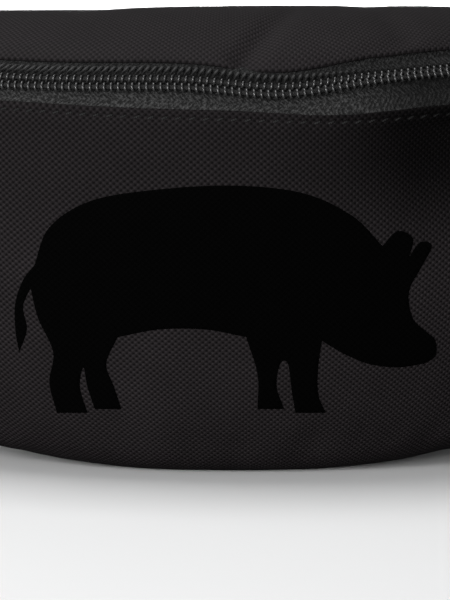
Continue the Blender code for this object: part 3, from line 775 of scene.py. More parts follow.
def makeFrontPanel():
    cloth = frontCloth
    end = frontRun[-1] - 0.3 * mm
    across = np.linspace(0, 1, cloth["columns"])
    angle = pouch["endAngle"] * (2 * across[:, None] - 1)
    edge = frontEdge(angle)
    fine = np.array([0, 0.12, 0.3, 0.55, 0.8, 1.2, 1.7, 2.2, 2.5, 2.7, 2.9, 3.2, 3.8, 4.6]) * mm
    below = np.concatenate([fine, np.linspace(5.6 * mm, end, cloth["rows"] - len(fine))])[None]
    points = frontPlace(angle, edge + below * (end - edge) / end)
    coarse, held = sewnGrid(frontPlace, frontEdge, end, frontDrape)
    held |= coarse[..., 2] < 3 * mm  # what rests on the base stays there
    moves = filledOut(coarse, held, frontDrape)
    moves[..., 2] = np.maximum(moves[..., 2], -np.maximum(coarse[..., 2] - 1 * mm, 0))
    points = points + refined(moves, across, (below / end)[0])
    out = normalsOf(points, (0, -1, 0))
    drop = below[0][None] + 0 * angle
    middle, size = cloth["hollowAt"], cloth["hollowSize"]
    sunk = cloth["hollow"] * swell(angle, middle[0], size[0]) * swell(drop, middle[1], size[1])
    sunk = sunk * smoothStep(drop / (6 * mm))
    relief = lipHeight(drop, cloth) - cloth["groove"] * swell(drop, cloth["stitchDrop"], 0.45 * mm) - sunk
    points = points + out * relief[..., None]
    points[..., 2] = np.maximum(points[..., 2], 0.05 * mm)
    uvs = np.stack([pouch["frontRadius"] * angle + 0 * drop, -drop + 0 * angle], -1)
    panel = shellPiece("frontPanel", points, uvs, (0, -1, 0), cloth["thickness"])
    dress(panel, "frontCanvas", "bag", ("front_panel",))
    row, keep = list(fine).index(cloth["stitchDrop"]), slice(6, -6)
    stitchRow(
        "frontStitching", points[keep, row], out[keep, row], 3.65 * mm, 1.9 * mm, 0.27 * mm, 0.48 * mm,
        finish="frontThread",
    )
    return points


frontPoints = makeFrontPanel()
print("front panel made")

# top panel
topCloth = {
    "columns": 330, "rows": 84, "thickness": 0.7 * mm, "lip": 0.45 * mm, "lipRound": 0.6 * mm,
    "lipFade": (4 * mm, 12 * mm),
    "edge": {"rest": 15, "waves": [(-18, 12, -1.0), (4, 6, -3.5), (22, 9, 3.0)]},
    "tilt": {"rest": 0, "waves": [(-24, 16, -0.6), (28, 16, 0.3)]},
    "creases": [  # from, to, depth, half width
        ((0.001, 0.000), (0.017, 0.030), 1.9 * mm, 3.6 * mm),
        ((0.046, 0.003), (0.035, 0.034), 0.9 * mm, 4.5 * mm),
    ],
}
topDrape = {
    "towards": (0, 0, 1), "mass": 0.25, "stiffness": 12, "bending": 1.5, "pressure": 4.0,
    "slack": 0.012, "frames": 22, "cap": 0.6 * mm,
    "angle": pouch["endAngle"], "columns": 86, "rows": 22, "sewnRows": [0, -1],
}
topLine = np.concatenate([
    (head - 6 * mm * bandUp)[None],
    arcPoints(topCentre, pouch["topRound"], pouch["topStart"], topEnd, 90),
    arcPoints((shoulderDepth, shoulderHeight), pouch["shoulderRound"], topEnd, pi, 24)[1:],
])
topRun = runOf(topLine) - 6 * mm


def topPlace(angle, s):
    depth, height = np.interp(s, topRun, topLine[:, 0]), np.interp(s, topRun, topLine[:, 1])
    points = onPouch(angle, depth, height)
    share = np.clip((height - head[1]) / (crest - head[1]), 0, 1)
    points[..., 2] += waved(topCloth["tilt"], angle) * mm * share
    return points


def topEdge(angle):  # how far up the panel its hem lies
    return waved(topCloth["edge"], angle) * mm - pouch["zipBand"]


def makeTopPanel():
    cloth = topCloth
    end = topRun[-1]
    across = np.linspace(0, 1, cloth["columns"])
    angle = pouch["endAngle"] * (2 * across[:, None] - 1)
    edge = topEdge(angle)
    fine = np.array([0, 0.15, 0.35, 0.65, 1.0, 1.5, 2.1, 2.8, 3.6]) * mm
    past = np.concatenate([fine, np.linspace(4.5 * mm, end, cloth["rows"] - len(fine))])[None]
    points = topPlace(angle, edge + past * (end - edge) / end)
    moves = filledOut(*sewnGrid(topPlace, topEdge, end, topDrape), topDrape)
    points = points + refined(moves, across, (past / end)[0])
    out = normalsOf(points, (0, 0, 1))
    drop = past[0][None] + 0 * angle
    folded = 0 * drop
    for first, last, depth, width in cloth["creases"]:
        way = np.array(last) - np.array(first)
        long = np.linalg.norm(way)
        x, y = points[..., 0] - first[0], drop - first[1]
        along, beside = (x * way[0] + y * way[1]) / long, (x * way[1] - y * way[0]) / long
        fading = smoothStep(along / (6 * mm) + 0.5) * (1 - smoothStep(along / long - 0.2))
        folded = folded + depth * swell(beside, 0, width) * fading
    points = points + out * (lipHeight(drop, cloth) - folded)[..., None]
    uvs = np.stack([pouch["frontRadius"] * angle + 0 * drop, drop + 0 * angle], -1)
    panel = shellPiece("topPanel", points, uvs, (0, 0, 1), cloth["thickness"])
    dress(panel, "canvas", "bag", ("top_panel",))


makeTopPanel()
print("top panel made")

# zip: tapes, two coils that mesh, their cords and sewing
zipChain = {
    "middle": 7.9 * mm, "pitch": 1.85 * mm, "wire": 0.34 * mm, "rowCentre": 1.28 * mm,
    "halfWidth": {-1: 1.10 * mm, 1: 0.85 * mm}, "halfHeight": 0.85 * mm, "lift": 1.36 * mm,
    "endAngle": radians(43), "tapeEnd": radians(46),
    "shift": {"rest": 0, "waves": [(-18, 13, -1.25), (4, 6, -3.0), (22, 7, 1.75)]},
    "twist": {"rest": 0, "waves": [(17, 9, 32)]},
    "parted": 1.15 * mm, "partFrom": radians(38.6), "partTo": radians(41),
}
zipSewing = {  # over the upper coil: places across the band, their heights and the thread's half width
    "lean": 0.3, "across": np.array([1.6, 1.9, 2.4, 3.0, 3.8, 4.6, 5.4, 6.4]) * mm,
    "out": np.array([2.0, 2.45, 2.4, 1.95, 1.35, 0.85, 0.3, -0.9]) * mm,
    "thick": np.array([0.34, 0.35, 0.38, 0.43, 0.48, 0.50, 0.46, 0.36]) * mm,
}


def onSection(angle, section):  # (depth, height) places turned round the front axis, true circles
    radius = pouch["frontRadius"] - section[..., 0]
    return np.stack([radius * np.sin(angle), axisY - radius * np.cos(angle), section[..., 1]], -1)


def chainSection(angle, across, out):
    shift = waved(zipChain["shift"], angle)[..., None] * mm
    lean = pouch["zipLean"] + np.radians(waved(zipChain["twist"], angle))
    up = np.stack([np.sin(lean), np.cos(lean)], -1)
    outward = np.stack([-np.cos(lean), np.sin(lean)], -1)
    centre = foot + (zipChain["middle"] + shift) * bandUp
    return centre + np.asarray(across)[..., None] * up + np.asarray(out)[..., None] * outward


def onChain(angle, across, out):
    angle, across, out = np.broadcast_arrays(angle, across, out)
    return onSection(angle, chainSection(angle, across, out))


def parting(angle):
    share = (angle - zipChain["partFrom"]) / (zipChain["partTo"] - zipChain["partFrom"])
    return zipChain["parted"] * smoothStep(share)


chainRadius = pouch["frontRadius"] - foot[0] - zipChain["middle"] * bandUp[0]


def coilLine(side):
    span = 2 * zipChain["endAngle"] * chainRadius
    phase = np.linspace(0, 2 * pi * int(span / zipChain["pitch"]), 20 * int(span / zipChain["pitch"]))
    along = (phase + 0.8 * np.cos(phase)) / (2 * pi) + (0.5 if side > 0 else 0)
    angle = -zipChain["endAngle"] + along * zipChain["pitch"] / chainRadius
    across = side * (zipChain["rowCentre"] + parting(angle) - zipChain["halfWidth"][side] * np.cos(phase))
    return onChain(angle, across, zipChain["lift"] + zipChain["halfHeight"] * np.sin(phase))


def makeTape(name, side, node):
    angle = np.linspace(-zipChain["tapeEnd"], zipChain["tapeEnd"], 300)[:, None]
    share = np.linspace(0, 1, 16)[None]
    inner = chainSection(angle, side * (0.12 * mm + parting(angle)) + 0 * angle, 0 * angle)
    sunk = -1.8 * mm * swell(angle, radians(18), radians(7)) if side < 0 else 0 * angle
    knee = chainSection(angle, side * 3.6 * mm + 0 * angle, sunk)
    if side < 0:
        under = -frontEdge(angle)[..., None] - 0.9 * mm
        outer = foot + under * bandUp - 0.15 * mm * bandOut
    else:
        outer = alongLine(topLine, topRun, topEdge(angle) + 1.2 * mm) - 0.75 * mm * bandOut
    curve = (1 - share[..., None]) ** 2 * inner + 2 * (share * (1 - share))[..., None] * knee
    curve = curve + share[..., None] ** 2 * outer
    points = onSection(angle, curve)
    across = runOf(points[150])
    uvs = np.stack(np.broadcast_arrays(angle * chainRadius, across[None] + 0.4 * mm), -1)
    tape = shellPiece(name, points, uvs, (0, -0.6, 0.8), 0.7 * mm)
    dress(tape, "tape" if side < 0 else "upperTapeShaded", "bag", (node,))


def makeZip():
    makeTape("zipTapeLower", -1, "zip_tape_lower")
    makeTape("zipTapeUpper", 1, "zip_tape_upper")
    for side, label, node in ((-1, "Lower", "zip_coil_lower"), (1, "Upper", "zip_coil_upper")):
        coil = loftPiece("zipCoil" + label, [tubeRings(coilLine(side), zipChain["wire"], 8, 0.8)])
        dress(coil, "coil", "bag", (node,))
        angle = np.linspace(-zipChain["endAngle"], zipChain["endAngle"], 240)
        across = side * (zipChain["rowCentre"] + parting(angle))
        centre = onChain(angle, across, zipChain["lift"])
        outer = onChain(angle, across, zipChain["lift"] + mm)
        cord = tubeRings(centre, 0.72 * mm, 10, 0.6, 0.6, outer - centre)
        dress(loftPiece("coilCord" + label, [cord]), "cord")
    across = zipSewing["across"]
    lofts = []
    for k in range(int(2 * zipChain["endAngle"] * chainRadius / zipChain["pitch"])):
        start = -zipChain["endAngle"] + (k + 0.5) * zipChain["pitch"] / chainRadius
        angle = start + (across - across[0]) * zipSewing["lean"] / chainRadius
        path = onChain(angle, across + parting(angle), zipSewing["out"])
        lofts.append(tubeRings(path, zipSewing["thick"], 6, 0.5))
    dress(loftPiece("coilSewingUpper", lofts), "zipThread")


makeZip()
print("zip made")

# print on the front: a plain pig, its strokes in whole millimetres across and up from the base
printShape = {
    "cell": 1.4 * mm, "proud": 0.14 * mm, "thick": 0.28 * mm, "between": 8, "drop": 0.5 * mm,
    "strokes": {
        "back": [(-53, 60), (-49, 70), (-38, 77), (-20, 80), (0, 81), (18, 79), (31, 73), (39, 65)],
        "nearEar": [(39, 65), (43, 69), (47, 67), (46, 62)],
        "farEar": [(46, 62), (49, 66), (52, 65), (49, 59)],
        "face": [(49, 59), (46, 53), (47, 46), (51, 42)],
        "snout": [(51, 42), (53, 40), (53, 36), (50, 34)],
        "jaw": [(50, 34), (43, 33), (35, 34), (28, 37), (23, 40)],
        "nearForeleg": [(23, 40), (22, 33), (22, 26), (24, 21)],
        "nearForehoof": [(24, 21), (16, 21)],
        "betweenForelegs": [(16, 21), (15, 27), (14, 34), (12, 34), (11, 28), (13, 22)],
        "farForehoof": [(13, 22), (6, 22)],
        "farForeleg": [(6, 22), (6, 31), (3, 41)],
        "belly": [(3, 41), (-8, 43), (-20, 43), (-31, 41)],
        "farHindleg": [(-31, 41), (-34, 34), (-32, 28), (-30, 22)],
        "farHindHoof": [(-30, 22), (-37, 22)],
        "betweenHindlegs": [(-37, 22), (-39, 28), (-40, 33), (-41, 28), (-39, 21)],
        "nearHindHoof": [(-39, 21), (-47, 21)],
        "ham": [(-47, 21), (-49, 29), (-48, 37), (-52, 46), (-54, 54)],
        "tailInside": [(-54, 54), (-56, 49), (-55, 43), (-57, 37)],
        "tailOutside": [(-57, 37), (-58, 43), (-58, 50), (-56, 56), (-53, 60)],
    },
}

# camera: its place also carries the print on to the panel
shot = {
    "elevation": radians(8.5), "distance": 1.2, "lens": 274,
    "right": -2.6 * mm, "up": 0.8 * mm, "height": 50 * mm,
}
sight = Vector((0, cos(shot["elevation"]), -sin(shot["elevation"])))
sightUp = Vector((0, sin(shot["elevation"]), cos(shot["elevation"])))
frontPoint = Vector((0, frontY, shot["height"]))
aim = frontPoint + Vector((shot["right"], 0, 0)) + sightUp * shot["up"]
eye = aim - sight * shot["distance"]


def smoothStroke(points, between):  # a curve through the points of one stroke
    points = np.array(points)
    ends = np.concatenate([2 * points[:1] - points[1:2], points, 2 * points[-1:] - points[-2:-1]])
    curve = []
    for k in range(1, len(ends) - 2):
        for t in np.arange(between) / between:
            p0, p1, p2, p3 = ends[k - 1 : k + 3]
            bend = (2 * p0 - 5 * p1 + 4 * p2 - p3) * t**2 + (3 * p1 - p0 - 3 * p2 + p3) * t**3
            curve.append(0.5 * (2 * p1 + (p2 - p0) * t + bend))
    return curve


def makePrint():
    shape = printShape
    outline = []
    for stroke in shape["strokes"].values():
        outline += smoothStroke(stroke, shape["between"])
    bm = bmesh.new()
    bm.faces.new([bm.verts.new((x * mm, y * mm, 0)) for x, y in outline])
    bmesh.ops.triangulate(bm, faces=bm.faces)
    low, high = np.min(outline, 0) * mm, np.max(outline, 0) * mm
    for axis in (0, 1):
        for at in np.arange(low[axis] + shape["cell"] / 2, high[axis], shape["cell"]):
            across = Vector((1 - axis, axis, 0))
            everything = bm.verts[:] + bm.edges[:] + bm.faces[:]
            bmesh.ops.bisect_plane(bm, geom=everything, plane_co=across * at, plane_no=across)
    bmesh.ops.remove_doubles(bm, verts=bm.verts, dist=1e-6)
    rows, columns = frontPoints.shape[:2]
    panel = BVHTree.FromPolygons(frontPoints.reshape(-1, 3).tolist(), gridQuads(rows, columns))
    uv = bm.loops.layers.uv.new("clothUV")
    for face in bm.faces:
        for loop in face.loops:
            loop[uv].uv = loop.vert.co.xy
    base = Vector((0, frontY, 0))
    for vertex in bm.verts:
        over = base + Vector((vertex.co.x, 0, 0)) + sightUp * (vertex.co.y - shape["drop"])
        hit, normal = panel.ray_cast(eye, (over - eye).normalized())[:2]
        vertex.co = hit + (normal if normal.y < 0 else -normal) * shape["proud"]
    bm.normal_update()
    if sum(face.normal.y for face in bm.faces) > 0:
        bmesh.ops.reverse_faces(bm, faces=bm.faces)
    mesh = fillMesh(bpy.data.meshes.new("pigPrint"), bm)
    mesh.shade_smooth()
    piece = newPiece("pigPrint", mesh)
    thicken(piece, shape["thick"])
    dress(piece, "ink")


makePrint()
print("print laid")

# back pad, in three air-mesh cushions with channels between them
backPad = {
    "columns": 260, "rows": 96, "thickness": 3.4 * mm, "channels": (-48 * mm, 48 * mm),
    "channelWidth": 4.2 * mm, "puff": 3.2 * mm, "hem": 5.5 * mm, "low": 8.4 * mm, "high": 106 * mm,
    "angle": radians(62.4),
}
padDrape = {
    "towards": (0, 1, 0), "mass": 0.2, "stiffness": 8, "bending": 2.5, "pressure": 2.5,
    "slack": 0.02, "frames": 20, "cap": 1.4 * mm,
    "angle": backPad["angle"], "columns": 92, "rows": 32, "sewnRows": [0, 1, -2, -1],
}


upright = np.array([0, 0, 1.0])


def backPlace(angle, height):
    return onPouch(angle, pouch["depth"] + 0 * height, height)


def makeBackPad():
    pad = backPad
    across, share = np.linspace(0, 1, pad["columns"]), np.linspace(0, 1, pad["rows"])
    angle = pad["angle"] * (2 * across[:, None] - 1)
    height = pad["low"] + share[None] * (pad["high"] - pad["low"])
    points = backPlace(angle, height)
    coarse, held = sewnGrid(backPlace, lambda at: pad["low"], pad["high"], padDrape)
    for channel in pad["channels"]:
        held[np.argmin(np.abs(coarse[:, padDrape["rows"] // 2, 0] - channel))] = True
    points = points + refined(filledOut(coarse, held, padDrape), across, share)
    out = normalsOf(points, (0, 1, 0))
    x = points[..., 0]
    run = runOf(points[:, pad["rows"] // 2])[:, None] + 0 * height
    aside = np.minimum(run, run[-1] - run)
    rise = np.minimum(height - pad["low"], pad["high"] - height) + 0 * angle
    rim = np.minimum(aside, rise)
    apart = np.min([np.abs(x - channel) for channel in pad["channels"]], 0)
    full = smoothStep((rim - pad["hem"]) / (9 * mm)) * smoothStep(apart / (3 * pad["channelWidth"]) + 0.1)
    relief = 0.5 * mm + pad["puff"] * full**0.8 - 0.7 * mm * swell(rim, pad["hem"], 0.8 * mm)
    relief = relief - 0.5 * mm * swell(apart, 0, 1.0 * mm) * smoothStep((rim - pad["hem"]) / (2 * mm))
    points = points + out * (relief * smoothStep(rim / (1.2 * mm) + 0.3))[..., None]
    run = runOf(points[:, pad["rows"] // 2])[:, None] + 0 * height
    uvs = np.stack([run, height + 0 * angle], -1)
    piece = shellPiece("backPad", points, uvs, (0, 1, 0), pad["thickness"])
    dress(piece, "airMesh", "bag", ("back_panel",))
    stitch = (3.4 * mm, 2.2 * mm, 0.27 * mm)
    for name, row in (("backStitchingLow", 7), ("backStitchingHigh", pad["rows"] - 8)):
        stitchRow(name, points[9:-9, row], out[9:-9, row], *stitch)
    for name, channel in zip(("channelStitchingLeft", "channelStitchingRight"), pad["channels"]):
        column = int(np.argmin(np.abs(points[:, pad["rows"] // 2, 0] - channel)))
        stitchRow(name, points[column, 8:-8], out[column, 8:-8], *stitch)
    # canvas bands that bind the pad's long edges
    for name, row, side in (("backBindingLow", 0, 1), ("backBindingHigh", pad["rows"] - 1, -1)):
        path = points[:, row] + out[:, row] * 0.2 * mm + upright * side * mm
        dress(loftPiece(name, [tubeRings(path, 1.7 * mm, 12, 0.8, 0.55, out[:, row])]), "binding")


def makeLining():
    back = [[pouch["depth"], 0.05]]
    outer = np.concatenate([frontLine[6:-1], back, topLine[::-1][:-8], [foot + 8 * mm * bandUp]])
    centre = outer.mean(0)
    inner = centre + (outer - centre) * np.array([0.55, 0.74])
    angle = np.linspace(-radians(56), radians(56), 60)[:, None]
    rings = onPouch(angle, inner[::3, 0], inner[::3, 1])
    dress(loftPiece("liningBag", [rings]), "lining", "bag", ("filled_lining",))


# ends of the pouch: plain strips past the zip, and the bound side seams
endStrip = {
    "from": radians(45.2), "columns": 60, "rows": 22, "low": -1.2 * mm, "high": 16.4 * mm,
    "thickness": 1.1 * mm, "fold": 2.3 * mm,
}


def makeZipEnds():
    strip = endStrip
    for side, label, node in ((-1, "Left", "zip_end_left"), (1, "Right", "zip_end_right")):
        angle = side * np.linspace(strip["from"], pouch["endAngle"], strip["columns"])[:, None]
        share = np.linspace(0, 1, strip["rows"])[None]
        across = strip["low"] + share * (strip["high"] - strip["low"])
        past = (np.abs(angle) - strip["from"]) * chainRadius + 0 * across
        folded = strip["fold"] * (1 - smoothStep((past - 3 * mm) / (9 * mm)))
        folded = folded * np.maximum(0, np.sin(pi * share)) ** 0.5
        folded = (folded + 0.3 * mm) * smoothStep(past / (1.1 * mm) + 0.15)
        section = foot + across[..., None] * bandUp + folded[..., None] * bandOut
        points = onPouch(angle, section[..., 0], section[..., 1])
        uvs = np.stack([past, across + 0 * angle], -1)
        towards = (side, -0.4, 0.6)
        piece = shellPiece("zipEnd" + label, points, uvs, towards, strip["thickness"])
        dress(piece, "canvas", "bag", (node,))
        out = normalsOf(points, towards)
        row = int(np.argmax(past[:, 0] > 2.4 * mm))
        places, outs = points[row, 3:-3], out[row, 3:-3]
        stitchRow("endStitching" + label, places, outs, 2.9 * mm, 1.9 * mm, 0.25 * mm)


def makeBindings():
    for side, label, node in ((-1, "Left", "side_binding_left"), (1, "Right", "side_binding_right")):
        path = onPouch(side * pouch["endAngle"], pouch["depth"] / 2, np.linspace(0.004, crest - 0.004, 90))
        path = path + np.array([side * cos(pouch["endAngle"]), sin(pouch["endAngle"]), 0]) * 3.0 * mm
        across = np.tile([side * sin(pouch["endAngle"]), -cos(pouch["endAngle"]), 0], (90, 1))
        rings = tubeRings(path, 2.4 * mm, 16, 0.8, 0.62, across)
        dress(loftPiece("sideBinding" + label, [rings]), "binding", "bag", (node,))
        places = path + across * 1.45 * mm
        stitchRow("bindingStitching" + label, places, across, 3.2 * mm, 2.1 * mm, 0.26 * mm)


# wings: padded tabs that carry on the back and take the belt
wing = {
    "start": 0.1515, "end": 0.205, "rootLow": 0.031, "rootHigh": 0.113, "tipHeight": 0.066,
    "thick": 4.0 * mm, "tipThick": 2.6 * mm, "columns": 60, "rows": 48, "hem": 4.0 * mm,
}
webbing = {
    "width": 0.030, "thick": 1.6 * mm, "drop": 0.205, "turn": 0.055, "wrap": 0.0040, "lap": 0.021,
    "lapLift": 2.4 * mm, "fold": 0.030, "tail": 0.085, "step": 1.4 * mm, "sway": 0.35 * mm,
}
buckleSize = {
    "width": 0.040, "thick": 0.011, "socketEnd": -0.036, "mouth": 0.006, "insertEnd": 0.027, "bar": 0.004,
    "barThick": 3.8 * mm, "slot": 0.005, "wall": 1.8 * mm, "gap": 0.6 * mm, "clear": 0.5 * mm,
}


wingRadius = pouch["backRadius"] + pouch["padThick"] / 2


def wingCentre(x):
    return np.array([x, backCentreY - sqrt(wingRadius**2 - x**2), 0])


def lapPlace(side, x):  # where the webbing lies on a wing's outer face
    return wingCentre(side * x) + np.array([side * 0.45, -0.9, 0]) * webbing["lapLift"]


def wingEdges(x):
    ease = smoothStep((x - wing["start"]) / (wing["end"] - wing["start"]))
    half = webbing["width"] / 2 + 1 * mm
    low = wing["rootLow"] + (wing["tipHeight"] - half - wing["rootLow"]) * ease
    high = wing["rootHigh"] + (wing["tipHeight"] + half - wing["rootHigh"]) * ease
    return low, high


def makeWings():
    for side, label, node in ((-1, "Left", "wing_left"), (1, "Right", "wing_right")):
        rings, outs = [], []
        v = np.linspace(0, 1, wing["rows"])
        for share in np.linspace(0, 1, wing["columns"]):
            x = wing["start"] + (wing["end"] - wing["start"]) * share
            low, high = wingEdges(x)
            centre = wingCentre(side * x)
            out = -unit(centre - np.array([0, backCentreY, 0]))
            out = out if out[1] < 0 else -out
            edge = np.minimum(v, 1 - v) * (high - low)
            ends = min(share, 1 - share) * (wing["end"] - wing["start"])
            flat = wing["tipThick"] + (wing["thick"] - wing["tipThick"]) * (1 - smoothStep(share))
            rim = np.minimum(edge, max(ends, 0.2 * mm) + 3 * mm)
            full = 0.42 + 0.58 * smoothStep((rim - wing["hem"]) / (7 * mm))
            full = full - 0.12 * swell(rim, wing["hem"], 0.7 * mm)
            full = full * np.sqrt(smoothStep(edge / (1.2 * mm) * 0.5 + 0.02))
            middle = centre + np.outer(low + v * (high - low), upright)
            half = np.outer(flat / 2 * full, out)
            rings.append(np.concatenate([middle + half, (middle - half)[::-1]]))
            outs.append(out)
        rings, outs = np.array(rings), np.array(outs)
        piece = dress(loftPiece("wing" + label, [rings]), "canvas", "bag", (node,))
        lows, highs = rings[:, 0], rings[:, wing["rows"] - 1]
        edges = np.concatenate([lows, np.linspace(lows[-1], highs[-1], 24)[1:-1], highs[::-1]])
        hints = np.concatenate([outs, np.tile(outs[-1], (22, 1)), outs[::-1]])
        for turn in range(6):
            edges[1:-1] = (edges[:-2] + 2 * edges[1:-1] + edges[2:]) / 4
        bound = loftPiece("wingBinding" + label, [tubeRings(edges, 1.5 * mm, 12, 0.8, 0.85, hints)])
        dress(bound, "binding")
        for level, row in (("Low", 5), ("High", 42)):
            name = f"wingStitching{level}{label}"
            stitchRow(name, rings[3:-14, row], outs[3:-14], 3.2 * mm, 2.1 * mm, 0.26 * mm)


def beltHeight(length):
    ease = smoothStep(length / webbing["drop"])
    return wing["tipHeight"] + (buckleSize["width"] / 2 - wing["tipHeight"]) * ease


def beltPath(side, bar, returned, sewn):  # plan of one half, from the wing's face to the end of its tail
    start = wingCentre(side * (wing["end"] + 0.6 * mm))
    sweep = asin(wing["end"] / wingRadius)
    middle = start + webbing["turn"] * np.array([-side * sin(sweep), cos(sweep), 0])
    lap = [lapPlace(side, x) for x in np.linspace(wing["end"] - webbing["lap"], wing["end"] - 0.5 * mm, 16)]
    headings = np.linspace(sweep, pi, 60)[4:]
    turn = [middle + webbing["turn"] * np.array([side * sin(a), -cos(a), 0]) for a in headings]
    rear = turn[-1][1]
    begin = abs(turn[-1][0])
    wrap = webbing["wrap"]
    run = [np.array([side * x, rear, 0]) for x in np.linspace(begin, bar, 40)[1:]]
    bend = []
    for a in np.linspace(0, pi, 16)[1:-1]:
        bend.append(np.array([side * (bar - wrap * sin(a)), rear - wrap * (1 - cos(a)), 0]))
    closed = 2 * wrap - webbing["thick"] - 0.3 * mm if sewn else 0
    tail = []
    for past in np.linspace(0, returned, 40):
        close = smoothStep((past - 2 * mm) / (14 * mm)) * closed
        tail.append(np.array([side * (bar + past), rear - 2 * wrap + close, 0]))
    path = np.array(lap + turn + run + bend + tail)
    return path, runOf(path)[len(lap)], rear


def beltPiece(name, side, bar, returned, sewn):
    path, lapped = beltPath(side, bar, returned, sewn)[:2]
    run = runOf(path)
    at = np.linspace(0, run[-1], int(run[-1] / webbing["step"]))
    path = alongLine(path, run, at)
    for turn in range(2):
        path[1:-1] = (path[:-2] + 2 * path[1:-1] + path[2:]) / 4
    tangents = unit(np.gradient(path, axis=0))
    outs = np.stack([tangents[:, 1], -tangents[:, 0], 0 * at], 1) * side
    past = at - lapped
    sway = webbing["sway"] * np.sin(past / 0.021) * smoothStep(past / 0.03)
    sway = sway * (1 - smoothStep((past - 0.15) / 0.06))
    heights = beltHeight(np.maximum(0, past))
    path = path + outs * sway[:, None] + upright * heights[:, None]
    ring = roundedRing(webbing["width"], webbing["thick"], 0.75 * mm, 14, 3)
    edge = 1 - 0.10 * np.cos(ring[:, 0] / webbing["width"] * 2 * pi)
    rings = path[:, None] + upright * ring[None, :, :1] + outs[:, None] * (ring[:, 1] * edge)[None, :, None]
    return loftPiece(name, [rings]), path


def boxStitching(name, middle, along, out, size):  # a sewn rectangle with its diagonals
    corners = []
    for a, b in ((-1, -1), (1, -1), (1, 1), (-1, 1)):
        corners.append(middle + along * a * size[0] / 2 + upright * b * size[1] / 2)
    parts = []
    for k, (first, last) in enumerate([(0, 1), (1, 2), (2, 3), (3, 0), (0, 2), (1, 3)]):
        path = np.linspace(corners[first], corners[last], 30)
        outs = np.tile(out, (30, 1))
        piece = stitchRow(f"{name}.{k}", path, outs, 2.6 * mm, 1.9 * mm, 0.26 * mm, body=None)
        parts.append((piece.data, Matrix.Identity(4)))
        bpy.data.objects.remove(piece)
    return dress(joinMeshes(name, parts), "thread")


def makeBelts():
    size = buckleSize
    leftBar, rightBar = -size["socketEnd"] - size["bar"] / 2, size["insertEnd"] - size["bar"] / 2
    left, path = beltPiece("beltLeft", -1, leftBar, webbing["fold"], True)
    dress(left, "webbing", "bag", ("belt_left",))
    middle = np.array([-(leftBar + 0.0215), path[:, 1].max() + 0.85 * mm, beltHeight(0.3)])
    boxStitching("foldStitching", middle, np.array([1.0, 0, 0]), np.array([0, 1.0, 0]), (0.013, 0.023))
    right, path = beltPiece("beltRight", 1, rightBar, webbing["tail"], False)
    dress(right, "webbing", None, ("belt_right",))
    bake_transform(right)
    tail = path[-4] + np.array([0, -0.85 * mm, 0])
    outs = np.tile([0, -1.0, 0], (40, 1))
    for k, back in enumerate((2.5 * mm, 5.0 * mm)):
        row = np.linspace(tail + [-back, 0, -0.0125], tail + [-back, 0, 0.0125], 40)
        stitchRow(f"tailStitching{k}", row, outs, 2.4 * mm, 1.7 * mm, 0.25 * mm, body="insert")
    for side, name in ((-1, "tipStitchingLeft"), (1, "tipStitchingRight")):
        x = wing["end"] - webbing["lap"] / 2
        out = np.array([side * x, -sqrt(wingRadius**2 - x**2), 0]) / wingRadius
        along = np.array([-out[1], out[0], 0])
        middle = lapPlace(side, x) + out * 0.85 * mm + upright * wing["tipHeight"]
        boxStitching(name, middle, along, out, (0.014, 0.022))


# side-release buckle, on edge: x along the belt, y across the webbing before it is stood up
def standing(place):
    return Matrix.Translation(place) @ Matrix(((1, 0, 0, 0), (0, 0, -1, 0), (0, 1, 0, 0), (0, 0, 0, 1)))


def mirrored(points):
    return points + [(x, -y) for x, y in reversed(points)]


def raised(z):
    return Matrix.Translation((0, 0, z))


def barCut(middle, half, face):  # over its bar a face is cut back, so that the webbing lies flush
    bar, low, high = buckleSize["bar"], face * buckleSize["barThick"] / 2, face * 0.02
    return (middle - bar, -half, min(low, high)), (middle + bar, half, max(low, high)), 0.7 * mm


def makeSocket(place, half, slotHalf, inside):
    size = buckleSize
    first, mouth, thick = size["socketEnd"], size["mouth"], size["thick"] / 2
    side = [
        (first, 0.0192), (first + 6 * mm, 0.0200), (-0.020, 0.0200), (-0.0150, 0.0187),
        (-0.0070, 0.0187), (-0.0025, 0.0200), (mouth, 0.0198),
    ]
    shell = plateMesh([roundedOutline(mirrored(side), 3.2 * mm)], size["thick"], 2.2 * mm, 4)
    socket = joinMeshes("buckleSocket", [(shell, place)])
    back, wide = first + size["bar"] + size["slot"] + 5 * mm, half - size["wall"] - mm
    blocks = [((back, -wide, -inside), (mouth + 0.01, wide, inside), 0.6 * mm)]
    for edge in (half, -half):
        blocks.append(((-0.0175, edge - 6 * mm, -inside), (-0.0045, edge + 6 * mm, inside), 1.2 * mm))
    slot = first + size["bar"]
    blocks.append(((slot, -slotHalf, -0.02), (slot + size["slot"], slotHalf, 0.02), 0.8 * mm))
    for face in (-1, 1):
        blocks.append(barCut(first + size["bar"] / 2, slotHalf, face))
        near, far = sorted((face * (thick - 0.5 * mm), face * 0.02))
        blocks.append(((-0.0205, -0.0095, near), (0.0005, 0.0095, far), 0.45 * mm))
    cutFrom(socket, blocks, place)
    dress(socket, "buckle", "bag", ("buckle_socket",))
    parts = []
    for face in (-1, 1):
        for k in range(4):
            x = -0.0175 + 4.6 * mm * k
            outline = [(x, -0.0072), (x + 1.5 * mm, -0.0072), (x + 1.5 * mm, 0.0072), (x, 0.0072)]
            rib = plateMesh([roundedOutline(outline, 0.7 * mm)], 0.7 * mm, 0.25 * mm)
            parts.append((rib, place @ raised(face * (thick - 0.45 * mm))))
    dress(joinMeshes("buckleRibs", parts), "buckle")


